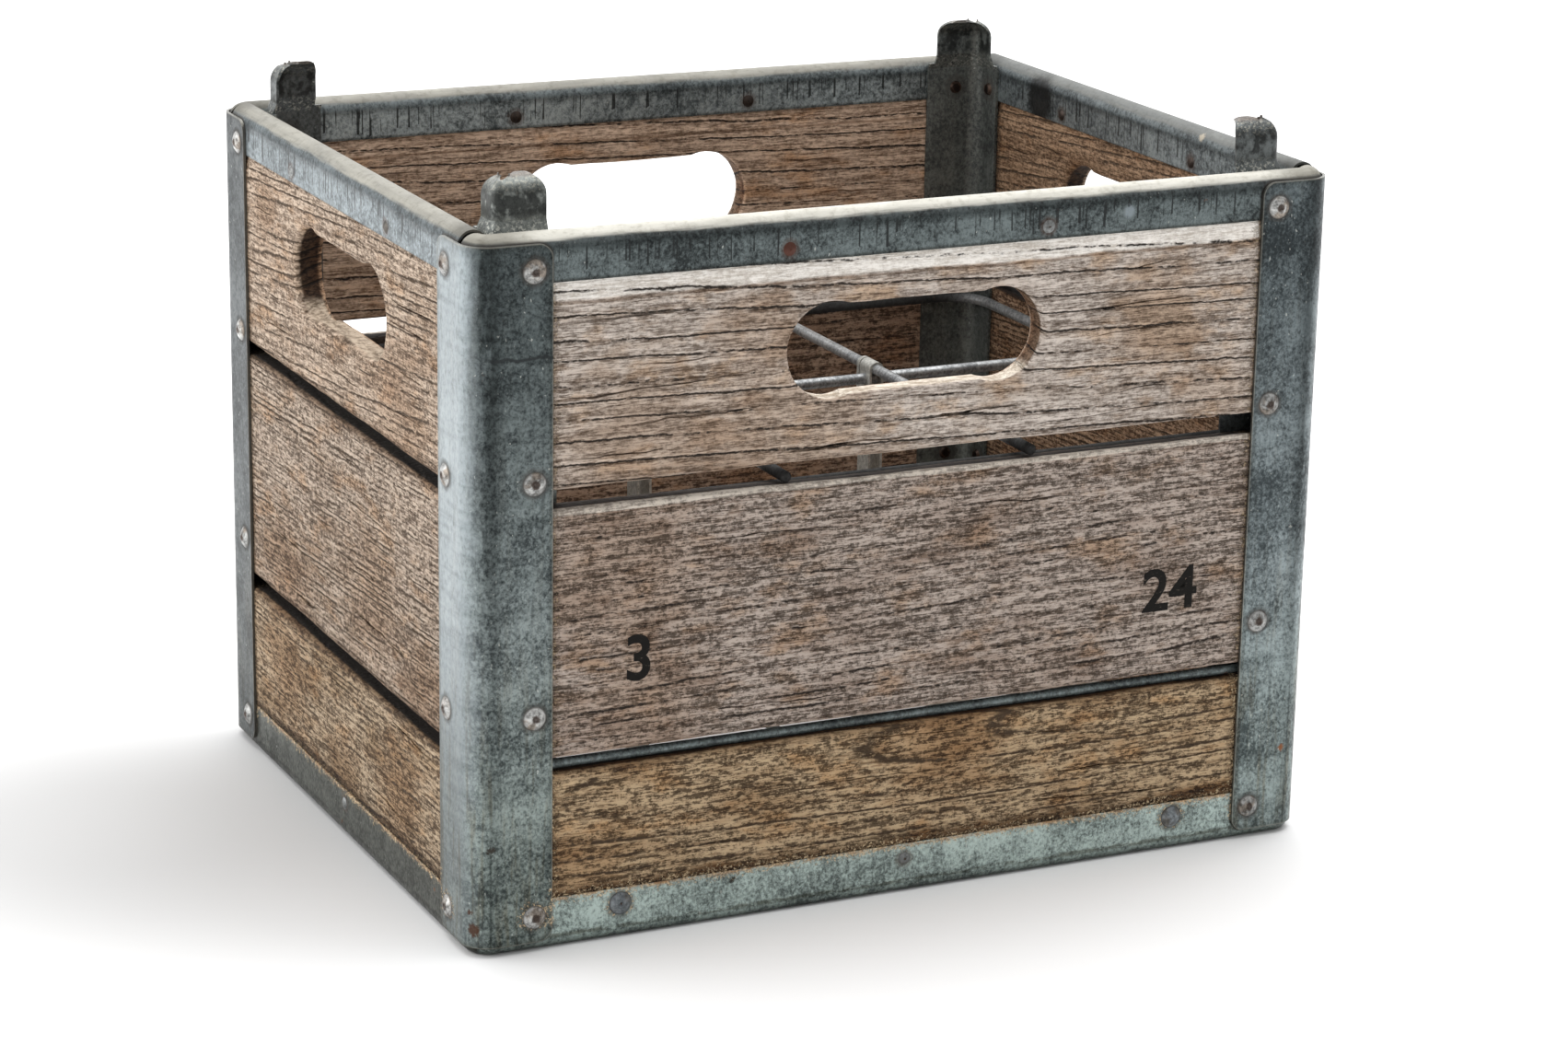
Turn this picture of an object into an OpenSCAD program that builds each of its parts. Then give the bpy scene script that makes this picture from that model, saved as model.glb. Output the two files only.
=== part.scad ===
// Wooden bottle crate with a galvanised sheet steel frame, a wire divider and curled stacking lugs.
// The origin is on the ground under the middle of the crate. X runs along the length, Y towards the back.
// Walls are described from their outer face: "inset" is the distance inwards from the corner post's face.

/* [Crate] */
// Length over the corner posts
crate_length = 388.6; // [330:0.2:450]
// Depth over the corner posts
crate_depth = 305.6; // [260:0.2:360]
// Height of the long rims' crown above the ground
rim_height = 294.5; // [285:0.5:320]

/* [Boards] */
// Thickness of the boards
board_thickness = 12.7; // [11:0.1:15]
// Height of the bottom boards' upper edge on the long walls
bottom_board_top = 74.5; // [65:0.5:80]
// Height of the middle boards
middle_board_height = 102; // [90:0.5:106]
// Open joint between the bottom and middle boards
lower_joint = 6.5; // [5:0.1:8]
// How much higher the boards' joints lie on the short walls
short_wall_lift = 3; // [0:0.5:4]
// How much more is planed off below the top boards of the long walls
long_top_trim = 3.5; // [0:0.1:4]
// Bevel along the boards' long edges
edge_bevel = 1; // [0.5:0.1:1.5]
// Height over which the top boards are planed thinner to enter the rims
rim_taper = 7; // [3:0.5:9]
// Free space over a board's tongue in its channel
tongue_clearance = 0.5; // [0.2:0.1:1]

/* [Hand holes] */
// Length of the hand holes in the long walls
long_hole_length = 115; // [95:1:125]
// Length of the hand holes in the short walls
short_hole_length = 111; // [95:1:125]
// Height of the hand holes at their round ends
hole_height = 40; // [32:0.5:44]
// How far the hand holes' middle lies above the middle of the top boards' face
hole_lift = 5.4; // [0:0.1:8]
// How far the straight edges lie inside the round ends
hole_edge_drop = 1.4; // [0.5:0.1:3]

/* [Corner posts] */
// Thickness of the corner posts' sheet
post_sheet = 1.2; // [0.8:0.1:1.6]
// Outer radius of the corner posts' bend
post_bend = 12; // [10:0.1:14]
// Width of the posts' wings on the long walls
post_long_wing = 35.1; // [33:0.1:44]
// Width of the posts' wings on the short walls
post_short_wing = 33.4; // [31:0.1:42]
// Height of the posts' lower edge above the ground
post_bottom = 4; // [2:0.1:7]
// Distance from the rim's crown down to the posts' upper edge
post_top_drop = 3.5; // [2:0.1:6]
// Radius of the wings' free corners
wing_corner = 6; // [2:0.1:9]

/* [Inner angles] */
// Thickness of the inner angles' sheet
inner_sheet = 1.2; // [0.8:0.1:1.6]
// Width of the inner wings on the long walls
inner_long_wing = 28.4; // [22:0.1:36]
// Width of the inner wings on the short walls
inner_short_wing = 19.1; // [17:0.1:28]
// Inner radius of the inner angles' bend
inner_bend = 7; // [5:0.1:7]
// Height of the inner angles' lower edge above the ground
inner_bottom = 2; // [1:0.1:6]

/* [Stacking lugs] */
// Height of the lugs above the long rims' crown
lug_rise = 19.8; // [17:0.1:26]
// How far the lugs step inwards above the rim
lug_joggle = 3; // [1.5:0.1:4]
// Outer radius of the curl at the lugs' top
lug_curl = 9; // [7:0.1:10]
// How much narrower the lugs are than the wings below
lug_step = 3.2; // [1:0.1:5]
// Distance from the rim's crown down to where the wings narrow
lug_step_drop = 2; // [0:0.1:4]
// Radius of the lugs' free top corners
lug_corner = 7; // [3:0.1:8]
// Radius of the notch between the two lobes of a lug
lug_notch = 2.2; // [1:0.1:3]
// Distance from the rim's crown down to where the lugs start to step inwards
joggle_drop = 4.5; // [3:0.1:6]
// Height of that step, as a multiple of how far it goes inwards
joggle_slope = 2.3; // [1.5:0.1:3]

/* [Rims] */
// Thickness of the rims' sheet
rim_sheet = 1; // [0.7:0.1:1.4]
// Depth of the rims from the crown to the flanges' lower edge
rim_depth = 19.5; // [18:0.1:24]
// How much higher the short walls' rims lie
short_rim_rise = 0.8; // [0:0.1:1.5]
// Gap between a long rim and the open end of a short rim
rim_end_gap = 0.8; // [0.3:0.1:3]

/* [Base rails] */
// Height of the base rails
rail_height = 21.5; // [19.5:0.1:26]
// Thickness of the base rails' sheet
rail_sheet = 1; // [0.7:0.1:1.4]
// Outer radius of the rolled lower edge
rail_roll = 4; // [2.5:0.1:5]

/* [Rivets and nails] */
// Diameter of the rivets' shanks
rivet_shank = 4.6; // [3.6:0.1:5]
// Diameter of the rivets' domed heads
rivet_head = 9.9; // [8:0.1:11]
// Height of the rivets' heads
rivet_head_rise = 1.9; // [1.2:0.1:2.6]
// Diameter of the dimple in the middle of each head
rivet_dimple = 2.6; // [1.6:0.1:3.4]
// Depth of that dimple
rivet_dimple_depth = 0.6; // [0.2:0.1:1]
// Diameter of the rivets' closed inner ends
rivet_tail = 6; // [5.6:0.1:6.6]
// Diameter of an inner end's face as a share of its foot
rivet_tail_taper = 0.8; // [0.5:0.05:1]
// Height of the rivets' inner ends
rivet_tail_rise = 1.3; // [0.8:0.1:2]
// Distance of the rivets from the corner on the long walls
rivet_long_inset = 27.4; // [25.5:0.1:29]
// Distance of the rivets from the corner on the short walls
rivet_short_inset = 25.4; // [25:0.1:27]
// Height of the top rivets above the rims' lower edge
rim_rivet_rise = 5.3; // [4:0.1:6]
// Height of the upper rivets above the top boards' lower edge
top_board_rivet_rise = 7.1; // [7:0.1:16]
// Height of the lower rivets above the middle boards' lower edge
middle_board_rivet_rise = 18.2; // [10:0.1:40]
// Distance of the bottom rivets below the base rails' upper edge
rail_rivet_drop = 6.6; // [5:0.1:8]
// Diameter of the small nails' shanks
nail_shank = 2.6; // [1.8:0.1:3.4]
// Diameter of the small nails' heads
nail_head = 5.6; // [4.5:0.1:6.5]
// Height of the small nails' heads
nail_head_rise = 0.9; // [0.5:0.1:1.4]
// Distance of the rim nails from the middle of each wall
rim_nail_reach = 58.2; // [40:0.2:75]

/* [Divider] */
// Diameter of the divider's upper rods and ring
rod = 4.8; // [4:0.1:5.4]
// Free height above the rods in the upper joint
rod_play = 0.7; // [0.4:0.1:2]
// Width of the middle column of cells
cell_width = 112; // [95:0.5:125]
// Depth of the cross rods' ends inside the crate's faces
rod_end_inset = 5; // [3:0.1:9]
// Outer radius of the bevel on the rods' ends
rod_end_bevel = 0.7; // [0.3:0.1:1.2]
// Clearance between the ring and the inner angles
ring_clearance = 0.5; // [0.3:0.1:2]
// Radius of the ring's corners
ring_corner = 20; // [14:0.5:30]
// How much lower than the long rod the ring lies
ring_drop = 2; // [0:0.1:2.2]
// Diameter of the lower rods
lower_rod = 4; // [3.2:0.1:4.6]
// Distance of the lower long rods' ends inside the crate's faces
lower_rod_inset = 13; // [12.2:0.1:15]
// Thickness of the hanger straps
hanger_sheet = 1; // [0.6:0.1:1.4]
// Width of the hangers' sleeves round the cross rods
hanger_sleeve = 10; // [8:0.1:14]
// Width of the narrow hoop behind each sleeve
hanger_hoop = 2.2; // [1.4:0.1:3]
// Width of the slit between the sleeve and the hoop
hanger_slit = 0.9; // [0.5:0.1:1.5]
// Width of the hangers' legs
hanger_leg = 11; // [8:0.1:13]

/* [Bottom straps] */
// Width of the straps under the bottles
strap_width = 22; // [16:0.5:30]
// Thickness of the straps
strap_sheet = 1.2; // [0.8:0.1:1.6]
// Distance of the cross straps' middle from the crate's ends
strap_inset = 65.3; // [62:0.1:90]
// Height of the cross straps' underside above the ground
strap_clearance = 1.2; // [0.5:0.1:2.5]
// Outer radius of the bends at the straps' ends
strap_bend = 4; // [2.5:0.1:5]

/* [Hidden] */
WALLS = ["front", "back", "left", "right"];
$fn = 64;
nothing = 0.01;
margin = 1;
far = 1000;

galvanised = [0.62, 0.67, 0.68];
rail_grey = [0.5, 0.56, 0.57];
rivet_grey = [0.72, 0.72, 0.7];
wire_grey = [0.7, 0.71, 0.72];
rust_brown = [0.36, 0.24, 0.18];
wood_grey = [0.62, 0.56, 0.5];
wood_brown = [0.5, 0.4, 0.31];
wood_warm = [0.47, 0.36, 0.26];

// Insets of the layers of a wall, from the outside in
board_face = post_sheet;
board_back = board_face + board_thickness;
board_middle = (board_face + board_back) / 2;
inner_face = board_back + inner_sheet;
inner_axis = inner_face + inner_bend;
post_height = rim_height - post_top_drop - post_bottom;

// Heights of the joints between boards on the long walls
upper_joint = rod + rod_play;
middle_board_low = bottom_board_top + lower_joint;
middle_board_top = middle_board_low + middle_board_height;
top_board_low = middle_board_top + upper_joint;
rim_edge = rim_height - rim_depth;
rim_spring = rim_height - board_thickness / 2;
hole_middle = (top_board_low + rim_edge) / 2 + hole_lift;
tongue_top = rim_spring - tongue_clearance;
tongue_bottom = rail_roll + tongue_clearance;
rim_rivet_height = rim_edge + rim_rivet_rise;
rail_rivet_height = rail_height - rail_rivet_drop;
rivet_heights = [
  rail_rivet_height,
  middle_board_low + middle_board_rivet_rise,
  top_board_low + top_board_rivet_rise,
  rim_rivet_height
];
short_rim_setback = board_back + rim_end_gap;

// The lugs
lug_top = rim_height + lug_rise;
lug_face = board_back + lug_joggle;
joggle_low = rim_height - joggle_drop;
joggle_high = joggle_low + joggle_slope * lug_joggle;
curl_height = lug_top - lug_curl;

// The divider
rod_height = middle_board_top + rod / 2;
long_rod_height = rod_height - rod;
ring_height = long_rod_height - ring_drop;
ring_inset = inner_face + ring_clearance + rod / 2;
lower_rod_height = bottom_board_top + lower_rod / 2;
strap_reach = crate_length / 2 - strap_inset;
long_strap_low = strap_clearance + strap_sheet;
hanger_foot = long_strap_low + strap_sheet;

function is_right(corner) = corner == "front_right" || corner == "back_right";
function is_back(corner) = corner == "back_left" || corner == "back_right";
function is_short(wall) = wall == "left" || wall == "right";
function wall_length(wall) = is_short(wall) ? crate_depth : crate_length;
function rivet_inset(wall) = is_short(wall) ? rivet_short_inset : rivet_long_inset;
function lift(wall) = is_short(wall) ? short_wall_lift : 0;
function top_lift(wall) = is_short(wall) ? short_wall_lift : long_top_trim;
function rim_lift(wall) = is_short(wall) ? short_rim_rise : 0;

// Placing: a wall's own X runs along it from its middle, its Y is the inset and its Z the height.
module flipped(axis, on) {
  if (on)
    mirror(axis) children();
  else
    children();
}

module on_wall(wall) {
  if (is_short(wall))
    flipped([1, 0, 0], wall == "right")
      translate([-crate_length / 2, 0, 0])
        rotate([0, 0, -90])
          children();
  else
    flipped([0, 1, 0], wall == "back")
      translate([0, -crate_depth / 2, 0])
        children();
}

// A corner's own X and Y are the insets from its two outer faces, X along the long wall.
module at_corner(corner) {
  flipped([1, 0, 0], is_right(corner))
    flipped([0, 1, 0], is_back(corner))
      translate([-crate_length / 2, -crate_depth / 2, 0])
        children();
}

// Swaps a corner's X and Y, for what sits on its short wall. A quarter turn and a mirror are exact here,
// which a single mirror across the diagonal is not, so wings and bends still meet on one plane.
module on_short_side() {
  rotate([0, 0, 90])
    mirror([0, 1, 0])
      children();
}

// A flat outline in a wall's own X and Z, given its thickness from one inset to another
module plate(from, to) {
  translate([0, to, 0])
    rotate([90, 0, 0])
      linear_extrude(to - from)
        children();
}

// A section in inset and height, run along a wall from one place to another
module run(from, to) {
  translate([from, 0, 0])
    rotate([90, 0, 90])
      linear_extrude(to - from)
        children();
}

// A section in inset and height, swept a quarter turn round an upright axis at a corner
module corner_sweep(axis) {
  translate([axis, axis, 0])
    rotate([0, 0, 180])
      rotate_extrude(angle = 90)
        intersection() {
          translate([axis, 0])
            mirror([1, 0])
              children();
          translate([0, -far / 2])
            square([far, far]);
        }
}

// A quarter of a ring, in the lower left of its middle
module quarter_ring(radius, sheet) {
  intersection() {
    difference() {
      circle(radius);
      circle(radius - sheet);
    }
    translate([-radius, -radius])
      square(radius);
  }
}

module pin(diameter, from, to) {
  translate([0, from, 0])
    rotate([-90, 0, 0])
      cylinder(d = diameter, h = to - from);
}

// The places of the rivets on a wing or board, from the wall's middle
module at_rivets(wall) {
  reach = wall_length(wall) / 2 - rivet_inset(wall);
  for (side = [-1, 1])
    for (height = rivet_heights)
      translate([side * reach, 0, height])
        children();
}

module at_rim_nails() {
  for (side = [-1, 1])
    translate([side * rim_nail_reach, 0, rim_rivet_height])
      children();
}

module at_strap_rivets() {
  for (side = [-1, 1])
    translate([side * strap_reach, 0, rail_rivet_height])
      children();
}

// All holes through a wall: rivets, rim nails, the rail's middle nail and the strap rivets of a long wall
module wall_holes(wall) {
  at_rivets(wall) pin(rivet_shank, -margin, inner_face + margin);
  at_rim_nails() pin(nail_shank, -margin, inner_face + margin);
  translate([0, 0, rail_rivet_height]) pin(nail_shank, -margin, inner_face + margin);
  if (!is_short(wall))
    at_strap_rivets() pin(rivet_shank, -margin, inner_face + margin);
}

// The holes of a corner's two wings
module corner_holes() {
  for (height = rivet_heights) {
    translate([rivet_long_inset, 0, height])
      pin(rivet_shank, -margin, inner_face + margin);
    on_short_side()
      translate([rivet_short_inset, 0, height])
        pin(rivet_shank, -margin, inner_face + margin);
  }
}

// Corner posts: a bent sheet angle with rounded free corners
module post_wing(width) {
  plate(0, post_sheet) {
    translate([post_bend, post_bottom])
      square([width - post_bend - wing_corner, post_height]);
    translate([post_bend, post_bottom + wing_corner])
      square([width - post_bend, post_height - 2 * wing_corner]);
    for (height = [post_bottom + wing_corner, post_bottom + post_height - wing_corner])
      translate([width - wing_corner, height])
        circle(wing_corner);
  }
}

module corner_post(corner) {
  color(galvanised)
    at_corner(corner)
      difference() {
        union() {
          post_wing(post_long_wing);
          on_short_side() post_wing(post_short_wing);
          corner_sweep(post_bend)
            translate([0, post_bottom])
              square([post_sheet, post_height]);
        }
        corner_holes();
      }
}

// Section of an inner angle: flat behind the boards, stepped inwards above the rim, curled over on top
module lug_section() {
  polygon([
    [board_back, inner_bottom],
    [inner_face, inner_bottom],
    [inner_face, joggle_low],
    [lug_face + inner_sheet, joggle_high],
    [lug_face + inner_sheet, curl_height],
    [lug_face, curl_height],
    [lug_face, joggle_high],
    [board_back, joggle_low]
  ]);
  translate([lug_face + lug_curl, curl_height])
    mirror([0, 1])
      quarter_ring(lug_curl, inner_sheet);
}

// Outline of an inner wing, narrower from the rim's crown up and rounded at its free top corner
module lug_outline(width) {
  low_end = board_back + width;
  top_end = low_end - lug_step;
  square([low_end, rim_height - lug_step_drop]);
  square([top_end, lug_top - lug_corner]);
  square([top_end - lug_corner, lug_top]);
  translate([top_end - lug_corner, lug_top - lug_corner])
    circle(lug_corner);
}

module inner_wing(width) {
  intersection() {
    run(inner_axis, board_back + width) lug_section();
    plate(0, lug_face + lug_curl + margin) lug_outline(width);
  }
}

module inner_angle(corner) {
  color(rail_grey)
    at_corner(corner)
      difference() {
        union() {
          inner_wing(inner_long_wing);
          on_short_side() inner_wing(inner_short_wing);
          corner_sweep(inner_axis) lug_section();
        }
        corner_holes();
        translate([0, 0, lug_top])
          rotate([0, 0, 45])
            rotate([0, 90, 0])
              cylinder(r = lug_notch, h = far);
      }
}

// Rims: an upturned channel with a half-round crown over the top board's tongue
module rim_solid(sheet) {
  translate([board_face + sheet, rim_edge - 2 * sheet])
    square([board_thickness - 2 * sheet, rim_spring - rim_edge + 2 * sheet]);
  translate([board_middle, rim_spring])
    circle(board_thickness / 2 - sheet);
}

module rim_section() {
  difference() {
    rim_solid(0);
    rim_solid(rim_sheet);
  }
}

module rim(wall) {
  color(galvanised)
    on_wall(wall)
      difference() {
        if (is_short(wall)) {
          translate([0, 0, short_rim_rise])
            run(short_rim_setback - crate_depth / 2, crate_depth / 2 - short_rim_setback)
              rim_section();
        } else {
          run(post_bend - crate_length / 2, crate_length / 2 - post_bend)
            rim_section();
          for (side = [0, 1])
            flipped([1, 0, 0], side == 1)
              translate([-crate_length / 2, 0, 0])
                corner_sweep(post_bend) rim_section();
        }
        wall_holes(wall);
      }
}

// Base rails: a channel with rolled lower edges, mitred at the corners and rounded there under the posts
module rail_solid(sheet) {
  radius = rail_roll - sheet;
  low = board_face + sheet;
  wide = board_thickness - 2 * sheet;
  translate([low, rail_roll])
    square([wide, rail_height - rail_roll + sheet]);
  translate([low + radius, sheet])
    square([wide - 2 * radius, rail_roll]);
  for (side = [low + radius, low + wide - radius])
    translate([side, rail_roll])
      circle(radius);
}

module rail_section() {
  difference() {
    rail_solid(0);
    rail_solid(rail_sheet);
    translate([0, rail_height])
      square(far);
  }
}

// The part of a wall on its own side of the mitres at both corners
module between_mitres(half) {
  reach = inner_face;
  translate([0, 0, -margin])
    linear_extrude(far)
      polygon([
        [-half, 0],
        [half, 0],
        [half - reach, reach],
        [reach - half, reach]
      ]);
}

module rail_straight(wall) {
  half = wall_length(wall) / 2;
  run(post_bend - half, half - post_bend) rail_section();
}

module base_rail(wall) {
  half = wall_length(wall) / 2;
  color(rail_grey)
    on_wall(wall)
      difference() {
        intersection() {
          union() {
            rail_straight(wall);
            for (side = [0, 1])
              flipped([1, 0, 0], side == 1)
                translate([-half, 0, 0])
                  corner_sweep(post_bend) rail_section();
          }
          between_mitres(half);
        }
        wall_holes(wall);
      }
}

// Boards: bevelled along their long edges, with a tongue where a channel holds them. A top board's upper
// edge is tapered on both faces instead, down to the thickness of its tongue.
module board_section(low, high, top_depth = edge_bevel, top_height = edge_bevel) {
  polygon([
    [board_face + edge_bevel, low],
    [board_back - edge_bevel, low],
    [board_back, low + edge_bevel],
    [board_back, high - top_height],
    [board_back - top_depth, high],
    [board_face + top_depth, high],
    [board_face, high - top_height],
    [board_face, low + edge_bevel]
  ]);
}

module tongue(low, high, sheet) {
  translate([board_face + sheet, low])
    square([board_thickness - 2 * sheet, high - low]);
}

// The short walls' boards stop behind the long walls' boards
module board(wall) {
  end = is_short(wall) ? board_back : post_bend;
  half = wall_length(wall) / 2 - end;
  on_wall(wall)
    difference() {
      run(-half, half) children();
      wall_holes(wall);
    }
}

module hand_hole(wall) {
  radius = hole_height / 2;
  reach = (is_short(wall) ? short_hole_length : long_hole_length) / 2 - radius;
  on_wall(wall)
    translate([0, 0, hole_middle + lift(wall)])
      plate(-margin, inner_face + margin) {
        for (side = [-1, 1])
          translate([side * reach, 0])
            circle(radius);
        translate([-reach, hole_edge_drop - radius])
          square([2 * reach, hole_height - 2 * hole_edge_drop]);
      }
}

module top_board(wall) {
  color(is_short(wall) ? wood_brown : wood_grey)
    difference() {
      board(wall) {
        board_section(top_board_low + top_lift(wall), rim_edge + rim_lift(wall), rim_sheet, rim_taper);
        tongue(rim_edge - edge_bevel, tongue_top, rim_sheet);
      }
      hand_hole(wall);
    }
}

module middle_board(wall) {
  color(is_short(wall) ? wood_brown : wood_grey)
    board(wall)
      board_section(middle_board_low + lift(wall), middle_board_top + lift(wall));
}

module bottom_board(wall) {
  color(wood_warm)
    board(wall) {
      board_section(rail_height, bottom_board_top + lift(wall));
      tongue(tongue_bottom, rail_height + edge_bevel, rail_sheet);
    }
}

// Divider: a ring inside the walls, one long rod and two cross rods that lie on the middle boards
module divider_ring() {
  half_length = crate_length / 2 - ring_inset;
  half_depth = crate_depth / 2 - ring_inset;
  color(wire_grey)
    translate([0, 0, ring_height]) {
      for (side = [-1, 1]) {
        translate([ring_corner - half_length, side * half_depth, 0])
          rotate([0, 90, 0])
            cylinder(d = rod, h = 2 * (half_length - ring_corner));
        translate([side * half_length, half_depth - ring_corner, 0])
          rotate([90, 0, 0])
            cylinder(d = rod, h = 2 * (half_depth - ring_corner));
      }
      for (right = [0, 1])
        for (back = [0, 1])
          flipped([1, 0, 0], right == 1)
            flipped([0, 1, 0], back == 1)
              translate([ring_corner - half_length, ring_corner - half_depth, 0])
                rotate([0, 0, 180])
                  rotate_extrude(angle = 90)
                    translate([ring_corner, 0])
                      circle(d = rod);
    }
}

// The long rod's ends are hollowed to fit against the ring, and stop over its middle
module divider_long_rod() {
  half = crate_length / 2 - ring_inset;
  color(wire_grey)
    difference() {
      translate([-half, 0, long_rod_height])
        rotate([0, 90, 0])
          cylinder(d = rod, h = 2 * half);
      for (side = [-1, 1])
        translate([side * half, far / 2, ring_height])
          rotate([90, 0, 0])
            cylinder(d = rod, h = far);
    }
}

module divider_cross_rod(side) {
  half = crate_depth / 2 - rod_end_inset;
  color(wire_grey)
    translate([side * cell_width / 2, 0, rod_height])
      rotate([90, 0, 0]) {
        cylinder(d = rod, h = 2 * (half - rod_end_bevel), center = true);
        for (end = [0, 1])
          flipped([0, 0, 1], end == 1)
            translate([0, 0, half - rod_end_bevel])
              cylinder(d1 = rod, d2 = rod - 2 * rod_end_bevel, h = rod_end_bevel);
      }
}

// A hanger is a strap folded over a cross rod, holed for the long rod, with both legs down to the long strap
module hanger_section() {
  outer = rod / 2 + hanger_sheet;
  difference() {
    union() {
      translate([0, rod_height])
        circle(outer);
      translate([-outer, hanger_foot])
        square([2 * outer, rod_height - hanger_foot]);
    }
    translate([0, rod_height])
      circle(d = rod);
    translate([-rod / 2, 0])
      square([rod, rod_height]);
  }
}

module hanger_outline() {
  back = hanger_sleeve / 2 + hanger_slit + hanger_hoop;
  sleeve_low = long_rod_height - rod;
  top = rod_height + rod;
  difference() {
    polygon([
      [-hanger_leg / 2, hanger_foot],
      [hanger_leg / 2, hanger_foot],
      [hanger_leg / 2, sleeve_low - rod],
      [back, sleeve_low],
      [back, top],
      [-hanger_sleeve / 2, top],
      [-hanger_sleeve / 2, sleeve_low],
      [-hanger_leg / 2, sleeve_low - rod]
    ]);
    translate([hanger_sleeve / 2, long_rod_height])
      square([hanger_slit, far]);
  }
}

module divider_hanger(side) {
  color(wire_grey)
    translate([side * cell_width / 2, 0, 0])
      difference() {
        intersection() {
          translate([0, far / 2, 0])
            rotate([90, 0, 0])
              linear_extrude(far)
                hanger_section();
          translate([-rod * 2, 0, 0])
            rotate([90, 0, 90])
              linear_extrude(rod * 4)
                hanger_outline();
        }
        translate([-far / 2, 0, long_rod_height])
          rotate([0, 90, 0])
            cylinder(d = rod, h = far);
      }
}

// Lower rods: one lies in the lower joint of each long wall, and two cross rods butt against them
module lower_rod(wall) {
  half = crate_length / 2 - lower_rod_inset;
  color(wire_grey)
    on_wall(wall)
      translate([-half, board_middle, lower_rod_height])
        rotate([0, 90, 0])
          cylinder(d = lower_rod, h = 2 * half);
}

module lower_cross_rod(side) {
  half = crate_depth / 2 - board_middle;
  color(wire_grey)
    translate([side * cell_width / 2, 0, lower_rod_height])
      difference() {
        rotate([90, 0, 0])
          cylinder(d = lower_rod, h = 2 * half, center = true);
        for (end = [-1, 1])
          translate([0, end * half, 0])
            rotate([0, 90, 0])
              cylinder(d = lower_rod, h = far, center = true);
      }
}

// Bottom straps: flat under the bottles, turned up at both ends inside the base rails
module strap_section(half, low) {
  tab = half - board_back;
  for (side = [0, 1])
    flipped([1, 0], side == 1) {
      translate([-tab, low + strap_bend])
        square([strap_sheet, rail_height - low - strap_bend]);
      translate([strap_bend - tab, low + strap_bend])
        quarter_ring(strap_bend, strap_sheet);
    }
  translate([strap_bend - tab, low])
    square([2 * (tab - strap_bend), strap_sheet]);
}

module cross_strap(side) {
  half = crate_depth / 2;
  color(rail_grey)
    difference() {
      translate([side * strap_reach - strap_width / 2, 0, 0])
        rotate([90, 0, 90])
          linear_extrude(strap_width)
            strap_section(half, strap_clearance);
      for (wall = ["front", "back"])
        on_wall(wall)
          at_strap_rivets()
            pin(rivet_shank, 0, inner_face + strap_sheet + margin);
    }
}

module bottom_strap_long() {
  color(rail_grey)
    difference() {
      translate([0, strap_width / 2, 0])
        rotate([90, 0, 0])
          linear_extrude(strap_width)
            strap_section(crate_length / 2, long_strap_low);
      for (wall = ["left", "right"])
        on_wall(wall)
          translate([0, 0, rail_rivet_height])
            pin(nail_shank, 0, inner_face + strap_sheet + margin);
    }
}

// A rivet through a wall: a low dome outside, a shank and a smaller closed end inside
module dome(diameter, rise) {
  radius = (pow(diameter / 2, 2) + pow(rise, 2)) / (2 * rise);
  rotate_extrude()
    intersection() {
      translate([0, rise - radius])
        circle(radius);
      square([diameter / 2, rise]);
    }
}

module rivet(from, to) {
  difference() {
    translate([0, from, 0])
      rotate([90, 0, 0])
        dome(rivet_head, rivet_head_rise);
    translate([0, from - rivet_head_rise, 0])
      rotate([-90, 0, 0])
        cylinder(d1 = rivet_dimple, d2 = rivet_dimple / 2, h = rivet_dimple_depth);
  }
  pin(rivet_shank, from - nothing, to + nothing);
  translate([0, to, 0])
    rotate([-90, 0, 0])
      cylinder(d1 = rivet_tail, d2 = rivet_tail_taper * rivet_tail, h = rivet_tail_rise);
}

module nail(from, to) {
  translate([0, from, 0])
    rotate([90, 0, 0])
      dome(nail_head, nail_head_rise);
  pin(nail_shank, from - nothing, to + nothing);
  translate([0, to, 0])
    rotate([-90, 0, 0])
      dome(nail_head, nail_head_rise);
}

module corner_rivets(corner) {
  color(rivet_grey)
    at_corner(corner)
      for (height = rivet_heights) {
        translate([rivet_long_inset, 0, height])
          rivet(0, inner_face);
        on_short_side()
          translate([rivet_short_inset, 0, height])
            rivet(0, inner_face);
      }
}

module strap_rivets() {
  color(rivet_grey)
    for (wall = ["front", "back"])
      on_wall(wall)
        at_strap_rivets()
          rivet(board_face, board_back + strap_sheet);
}

module rim_nails() {
  color(rust_brown)
    for (wall = WALLS)
      on_wall(wall)
        at_rim_nails()
          nail(board_face, board_back);
}

module rail_nails() {
  color(rust_brown)
    for (wall = WALLS)
      on_wall(wall)
        translate([0, 0, rail_rivet_height])
          nail(board_face, is_short(wall) ? board_back + strap_sheet : board_back);
}

corner_post("front_left");  // corner_post_front_left
corner_post("front_right");  // corner_post_front_right
corner_post("back_left");  // corner_post_back_left
corner_post("back_right");  // corner_post_back_right
inner_angle("front_left");  // inner_angle_front_left
inner_angle("front_right");  // inner_angle_front_right
inner_angle("back_left");  // inner_angle_back_left
inner_angle("back_right");  // inner_angle_back_right
rim("front");  // rim_front
rim("back");  // rim_back
rim("left");  // rim_left
rim("right");  // rim_right
base_rail("front");  // base_rail_front
base_rail("back");  // base_rail_back
base_rail("left");  // base_rail_left
base_rail("right");  // base_rail_right
top_board("front");  // top_board_front
top_board("back");  // top_board_back
top_board("left");  // top_board_left
top_board("right");  // top_board_right
middle_board("front");  // middle_board_front
middle_board("back");  // middle_board_back
middle_board("left");  // middle_board_left
middle_board("right");  // middle_board_right
bottom_board("front");  // bottom_board_front
bottom_board("back");  // bottom_board_back
bottom_board("left");  // bottom_board_left
bottom_board("right");  // bottom_board_right
divider_ring();
divider_long_rod();
divider_cross_rod(-1);  // divider_cross_rod_left
divider_cross_rod(1);  // divider_cross_rod_right
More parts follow.
